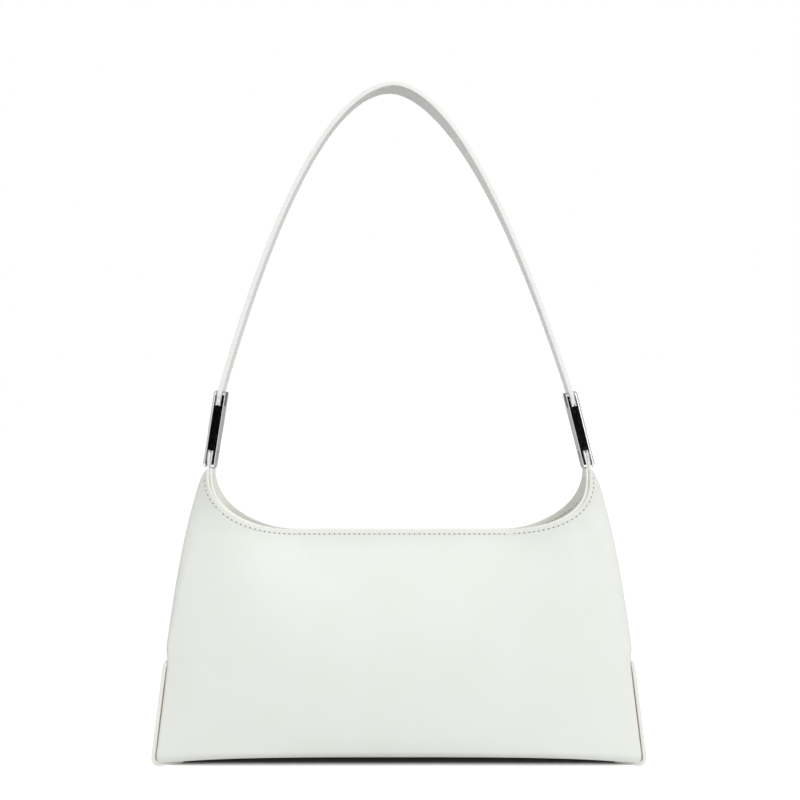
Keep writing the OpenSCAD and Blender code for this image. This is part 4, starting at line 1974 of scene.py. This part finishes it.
@dataclass
class Tabs:
    """Two plies that rise from each horn and go round the link's lower pin."""

    form: BagForm
    handle: Handle
    finishes: Finishes
    width: float = 12.8
    root_w: float = 16.4
    root_run: float = 8
    ply_t: float = 1.75
    ply_gap: float = 0.22
    skive_t: float = 0.85
    # The inner ply is skived at its root, where it slips under the facing.
    root_t: float = 0.75
    root_flat: float = 3
    root_skive: float = 6
    pin_r: float = 0.8
    pin_gap: float = 0.04
    edge: float = 0.55
    root_x: float = 117.4
    root_z: float = 170.5
    close_h: float = 3.4
    bend_power: float = 2.2
    leg_steps: int = 16
    # Where the tab starts and stops turning with the strap, over the horns and under the pin.
    swing_start: float = 0.3
    swing_end: float = 2.4

    def build(self) -> None:
        """Builds both tabs, which turn from the bag to the handle on their way."""
        for side, name in SIDES:
            tab = leather_strip(f"tab_{name}", self._line(side), self.edge, 8)
            dress(tab, self.finishes.strap, "strap_leather", f"{name}_tab_loop", body="")
            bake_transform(tab)

    def _middle(self, side: int, z: float) -> float:
        """Returns x of the split between the plies at a height."""
        pin_x = side * self.handle.half_pin - self.handle.shift
        share = clamp((z - self.root_z) / (self.form.pin_z - self.root_z))
        return mix(side * self.root_x, pin_x, share**self.bend_power)

    def _line(self, side: int) -> list[Ring]:
        """Lays the tab from the horn up round the pin and down again.

        Args:
            side: -1 for the left tab, 1 for the right one.

        Returns:
            The rings.
        """
        pin_z = self.form.pin_z
        pin_x = self._middle(side, pin_z)
        around = self.pin_r + self.pin_gap + self.skive_t / 2
        shut = (self.ply_t + self.ply_gap) / 2

        def leg(way: int) -> list[Ring]:
            """Lays one ply from the horn up to the pin.

            Args:
                way: -1 for the ply on the left of the split, 1 for the one on the right.

            Returns:
                The rings.
            """
            rings = []
            for i in range(self.leg_steps + 1):
                z = mix(self.root_z, pin_z, i / self.leg_steps)
                up = z - self.root_z
                opening = ease((z - pin_z + self.close_h) / self.close_h)
                half = mix(self.root_w, self.width, ease(up / self.root_run)) / 2
                off, thick = mix(shut, around, opening), mix(self.ply_t, self.skive_t, opening)
                less = 0.0
                if way != side:
                    root = 1 - ease((up - self.root_flat) / self.root_skive)
                    less = (self.ply_t - self.root_t) * root
                x = self._middle(side, z) + way * off - way * less / 2
                rings.append(Ring(x, z, half, thick - less))
            return rings

        bend = [
            Ring(
                pin_x + around * math.cos(turn), pin_z + around * math.sin(turn),
                self.width / 2, self.skive_t,
            )
            for turn in FOLD_ANGLES
        ]
        return leg(-1) + bend[::-1] + leg(1)[::-1]


@dataclass
class Links:
    """Polished links of rectangular tube, forked at both ends to four prongs."""

    handle: Handle
    finishes: Finishes
    length: float = 48.3
    width: float = 7.2
    depth: float = 15.6
    side_t: float = 1.85
    face_t: float = 2
    fork_l: float = 11
    fork_top_l: float = 9
    prong_d: float = 3.4
    # The edges that face away from the bag's middle are rounded wide, and the others hardly.
    outer_r: float = 1.75
    inner_r: float = 0.3
    end_r: float = 2.5
    cut_r: float = 0.18

    def build(self) -> None:
        """Builds both links."""
        for side, name in SIDES:
            link = self._model(f"link_{name}", side)
            link.data.transform(self.handle.link_matrix(side))
            dress(link, self.finishes.chrome, "link_metal", f"{name}_link", body="handle")

    def _block(self, name: str, x: float, y: float, bottom: float, top: float) -> Piece:
        """Adds a plain block.

        Args:
            name: Name of the block.
            x: Its half size from left to right.
            y: Its half size from front to back.
            bottom: Height of its underside.
            top: Height of its top.

        Returns:
            The block.
        """
        block = primitive(name, bpy.ops.mesh.primitive_cube_add, size=1)
        size = Matrix.Diagonal((2 * x * MM, 2 * y * MM, (top - bottom) * MM, 1))
        block.data.transform(Matrix.Translation((0, 0, (top + bottom) / 2 * MM)) @ size)
        return block

    def _round(
        self, obj: Piece, radius: float, segments: int, wanted: Callable[[Vector, Vector], bool]
    ) -> None:
        """Rounds some edges of a block.

        Args:
            obj: The block.
            radius: Radius of the rounding.
            segments: Faces round each edge.
            wanted: Says from an edge's direction and middle whether it is rounded.
        """
        pick(obj)
        mesh = obj.data
        for item in (*mesh.vertices, *mesh.edges, *mesh.polygons):
            item.select = False
        for edge in mesh.edges:
            first, last = (mesh.vertices[i].co for i in edge.vertices)
            edge.select = wanted((last - first).normalized(), (first + last) / 2)
        bpy.context.tool_settings.mesh_select_mode = (False, True, False)
        bpy.ops.object.mode_set(mode="EDIT")
        bpy.ops.mesh.bevel(offset=radius * MM, segments=segments, profile=0.5)
        bpy.ops.object.mode_set(mode="OBJECT")

    def _model(self, name: str, side: int) -> Piece:
        """Models one link in its own frame, its lower end at the origin.

        Args:
            name: Name of the link.
            side: -1 for the left link, 1 for the right one.

        Returns:
            The link.
        """
        # The ends are rounded as seen from the side, and the long edges by the way they face.
        bar = self._block(name, self.width / 2, self.depth / 2, 0, self.length)
        rim = (self.width / 2 - 0.01) * MM
        self._round(bar, self.end_r, 10, lambda way, middle: abs(way.x) > 0.9)
        self._round(bar, self.outer_r, 8, lambda way, middle: middle.x * side > rim)
        self._round(bar, self.inner_r, 4, lambda way, middle: middle.x * side < -rim)
        # The tube's inside is cut out first, then the forks' slots one way and the other.
        half_w = self.width / 2 - self.side_t
        half_d = self.depth / 2 - self.face_t
        window = self.depth / 2 - self.prong_d
        far, past = 30, 1
        low, high = (-past, self.fork_l), (self.length - self.fork_top_l, self.length + past)
        for x, y, bottom, top in (
            (half_w, half_d, -past, self.length + past),
            (half_w, far, *low), (half_w, far, *high), (far, window, *low), (far, window, *high),
        ):
            cutter = self._block("cutter", x, y, bottom, top)
            apply_modifier(bar, "BOOLEAN", operation="DIFFERENCE", object=cutter, solver="EXACT")
            bpy.data.objects.remove(cutter)
        edit_all(bar, lambda: bpy.ops.mesh.remove_doubles(threshold=1e-6))
        apply_modifier(
            bar, "BEVEL", width=self.cut_r * MM, segments=3, limit_method="ANGLE",
            angle_limit=math.radians(60), use_clamp_overlap=True,
        )
        shade(bar, 35)
        return apply_modifier(bar, "WEIGHTED_NORMAL", weight=100, keep_sharp=True)


@dataclass
class CarriedNodes:
    """CAD nodes whose shape is right as it is, given their finish."""

    finishes: Finishes
    nodes: dict[str, Piece]

    def build(self) -> None:
        """Gives the pins and the snap their turned steel."""
        for name, node in self.nodes.items():
            if name.endswith("_pin") or name.startswith("snap_"):
                node.data.materials.clear()
                node.data.materials.append(self.finishes.steel)
                LOG.info("%s: carried over", name)


@dataclass
class Studio:
    """White sweep, soft light and the camera of the photograph's view, in metres."""

    lens: float = 55.125
    sensor: float = 36
    camera_place: tuple[float, float, float] = (0.0006, -0.765, 0.219)
    floor_size: float = 16
    # Dark cloth behind the camera stands for the dark room, which only polished metal shows.
    card_place: tuple[float, float, float] = (0, -1.55, 0.22)
    card_size: tuple[float, float] = (2.2, 0.42)
    card_tone: str = "#0E0E0D"
    # The dome is dimmer at the horizon than overhead, as in a room with a large ceiling light.
    dome_low: float = 0.57
    dome_high: float = 0.69
    dome_from: float = -0.1
    dome_to: float = 0.7
    # Each lamp's place and power. Both are square and face the bag's lower middle.
    lamps: tuple[tuple[str, tuple[float, float, float], float], ...] = (
        ("key", (1.2, -2.0, 1.0), 23.5), ("fill", (-1.3, -1.7, 1.1), 7.0),
    )
    lamp_size: float = 1.5
    aim: tuple[float, float, float] = (0, 0, 0.15)

    def build(self) -> None:
        """Sets up the floor, the light and the camera."""
        add_plane = bpy.ops.mesh.primitive_plane_add
        floor = primitive("studio_floor", add_plane, size=self.floor_size)
        floor.data.materials.append(StudioWhite().material())
        self._dark_card(primitive("studio_dark_card", add_plane, size=1))
        self._world()
        for name, place, power in self.lamps:
            lamp = primitive(name, bpy.ops.object.light_add, type="AREA", location=place)
            lamp.data.size = self.lamp_size
            lamp.data.energy = power
            way = Vector(self.aim) - Vector(place)
            lamp.rotation_euler = way.to_track_quat("-Z", "Y").to_euler()
        camera = primitive(
            "camera", bpy.ops.object.camera_add,
            location=self.camera_place, rotation=(QUARTER, 0, 0),
        )
        camera.data.lens = self.lens
        camera.data.sensor_width = self.sensor
        bpy.context.scene.camera = camera
        bpy.context.scene.view_settings.view_transform = "Standard"

    def _dark_card(self, card: Piece) -> None:
        """Sets the dark card upright behind the camera, seen by nothing but mirrors.

        Args:
            card: The flat card of size 1.
        """
        upright = Matrix.Rotation(QUARTER, 4, "X") @ Matrix.Diagonal((*self.card_size, 1, 1))
        card.data.transform(Matrix.Translation(self.card_place) @ upright)
        material, tree = empty_material("dark_cloth")
        black = linear_colour(self.card_tone)
        face = add_node(tree, "ShaderNodeBsdfDiffuse", values={"Color": black})
        add_node(tree, "ShaderNodeOutputMaterial", links={"Surface": face.outputs[0]})
        card.data.materials.append(material)
        for ray in ("camera", "diffuse", "shadow", "transmission"):
            setattr(card, f"visible_{ray}", False)

    def _world(self) -> None:
        """Sets a plain soft dome, white to the camera and to polished metal."""
        world = bpy.data.worlds.new("studio_dome")
        bpy.context.scene.world = world
        world.use_nodes = True
        tree = world.node_tree
        tree.nodes.clear()
        way = add_node(tree, "ShaderNodeTexCoord").outputs["Generated"]
        parts = add_node(tree, "ShaderNodeSeparateXYZ", links={"Vector": way})
        dome = add_node(
            tree, "ShaderNodeMapRange", {"interpolation_type": "SMOOTHSTEP"},
            {
                "From Min": self.dome_from, "From Max": self.dome_to,
                "To Min": self.dome_low, "To Max": self.dome_high,
            },
            {"Value": parts.outputs["Z"]},
        )
        strength = add_node(
            tree, "ShaderNodeMapRange", values={"To Max": 1.0},
            links={"Value": seen_directly(tree), "To Min": dome.outputs[0]},
        )
        sky = add_node(
            tree, "ShaderNodeBackground", None,
            {"Color": linear_colour("#FFFFFF")}, {"Strength": strength.outputs[0]},
        )
        add_node(tree, "ShaderNodeOutputWorld", links={"Surface": sky.outputs[0]})


def main() -> None:
    """Builds the bag from its shell to its strap, then the studio round it."""
    logging.basicConfig(level=logging.INFO, format="%(name)s %(message)s")
    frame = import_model()
    form, handle, finishes = BagForm(), Handle(), Finishes()
    panels = Shell(form, finishes).build()
    patches = SidePatches(form, finishes)
    leathers = patches.build()
    facings = MouthFacing(form, finishes).build()
    stitching = Stitching(finishes)
    RimRows(form, stitching).build(panels, facings)
    PatchRows(patches, stitching).build(leathers)
    Lining(form, finishes).build()
    Pocket(form, finishes).build()
    Tabs(form, handle, finishes).build()
    Links(handle, finishes).build()
    Strap(handle, finishes).build()
    CarriedNodes(finishes, frame["nodes"]).build()
    Studio().build()


if __name__ == "__main__":
    main()
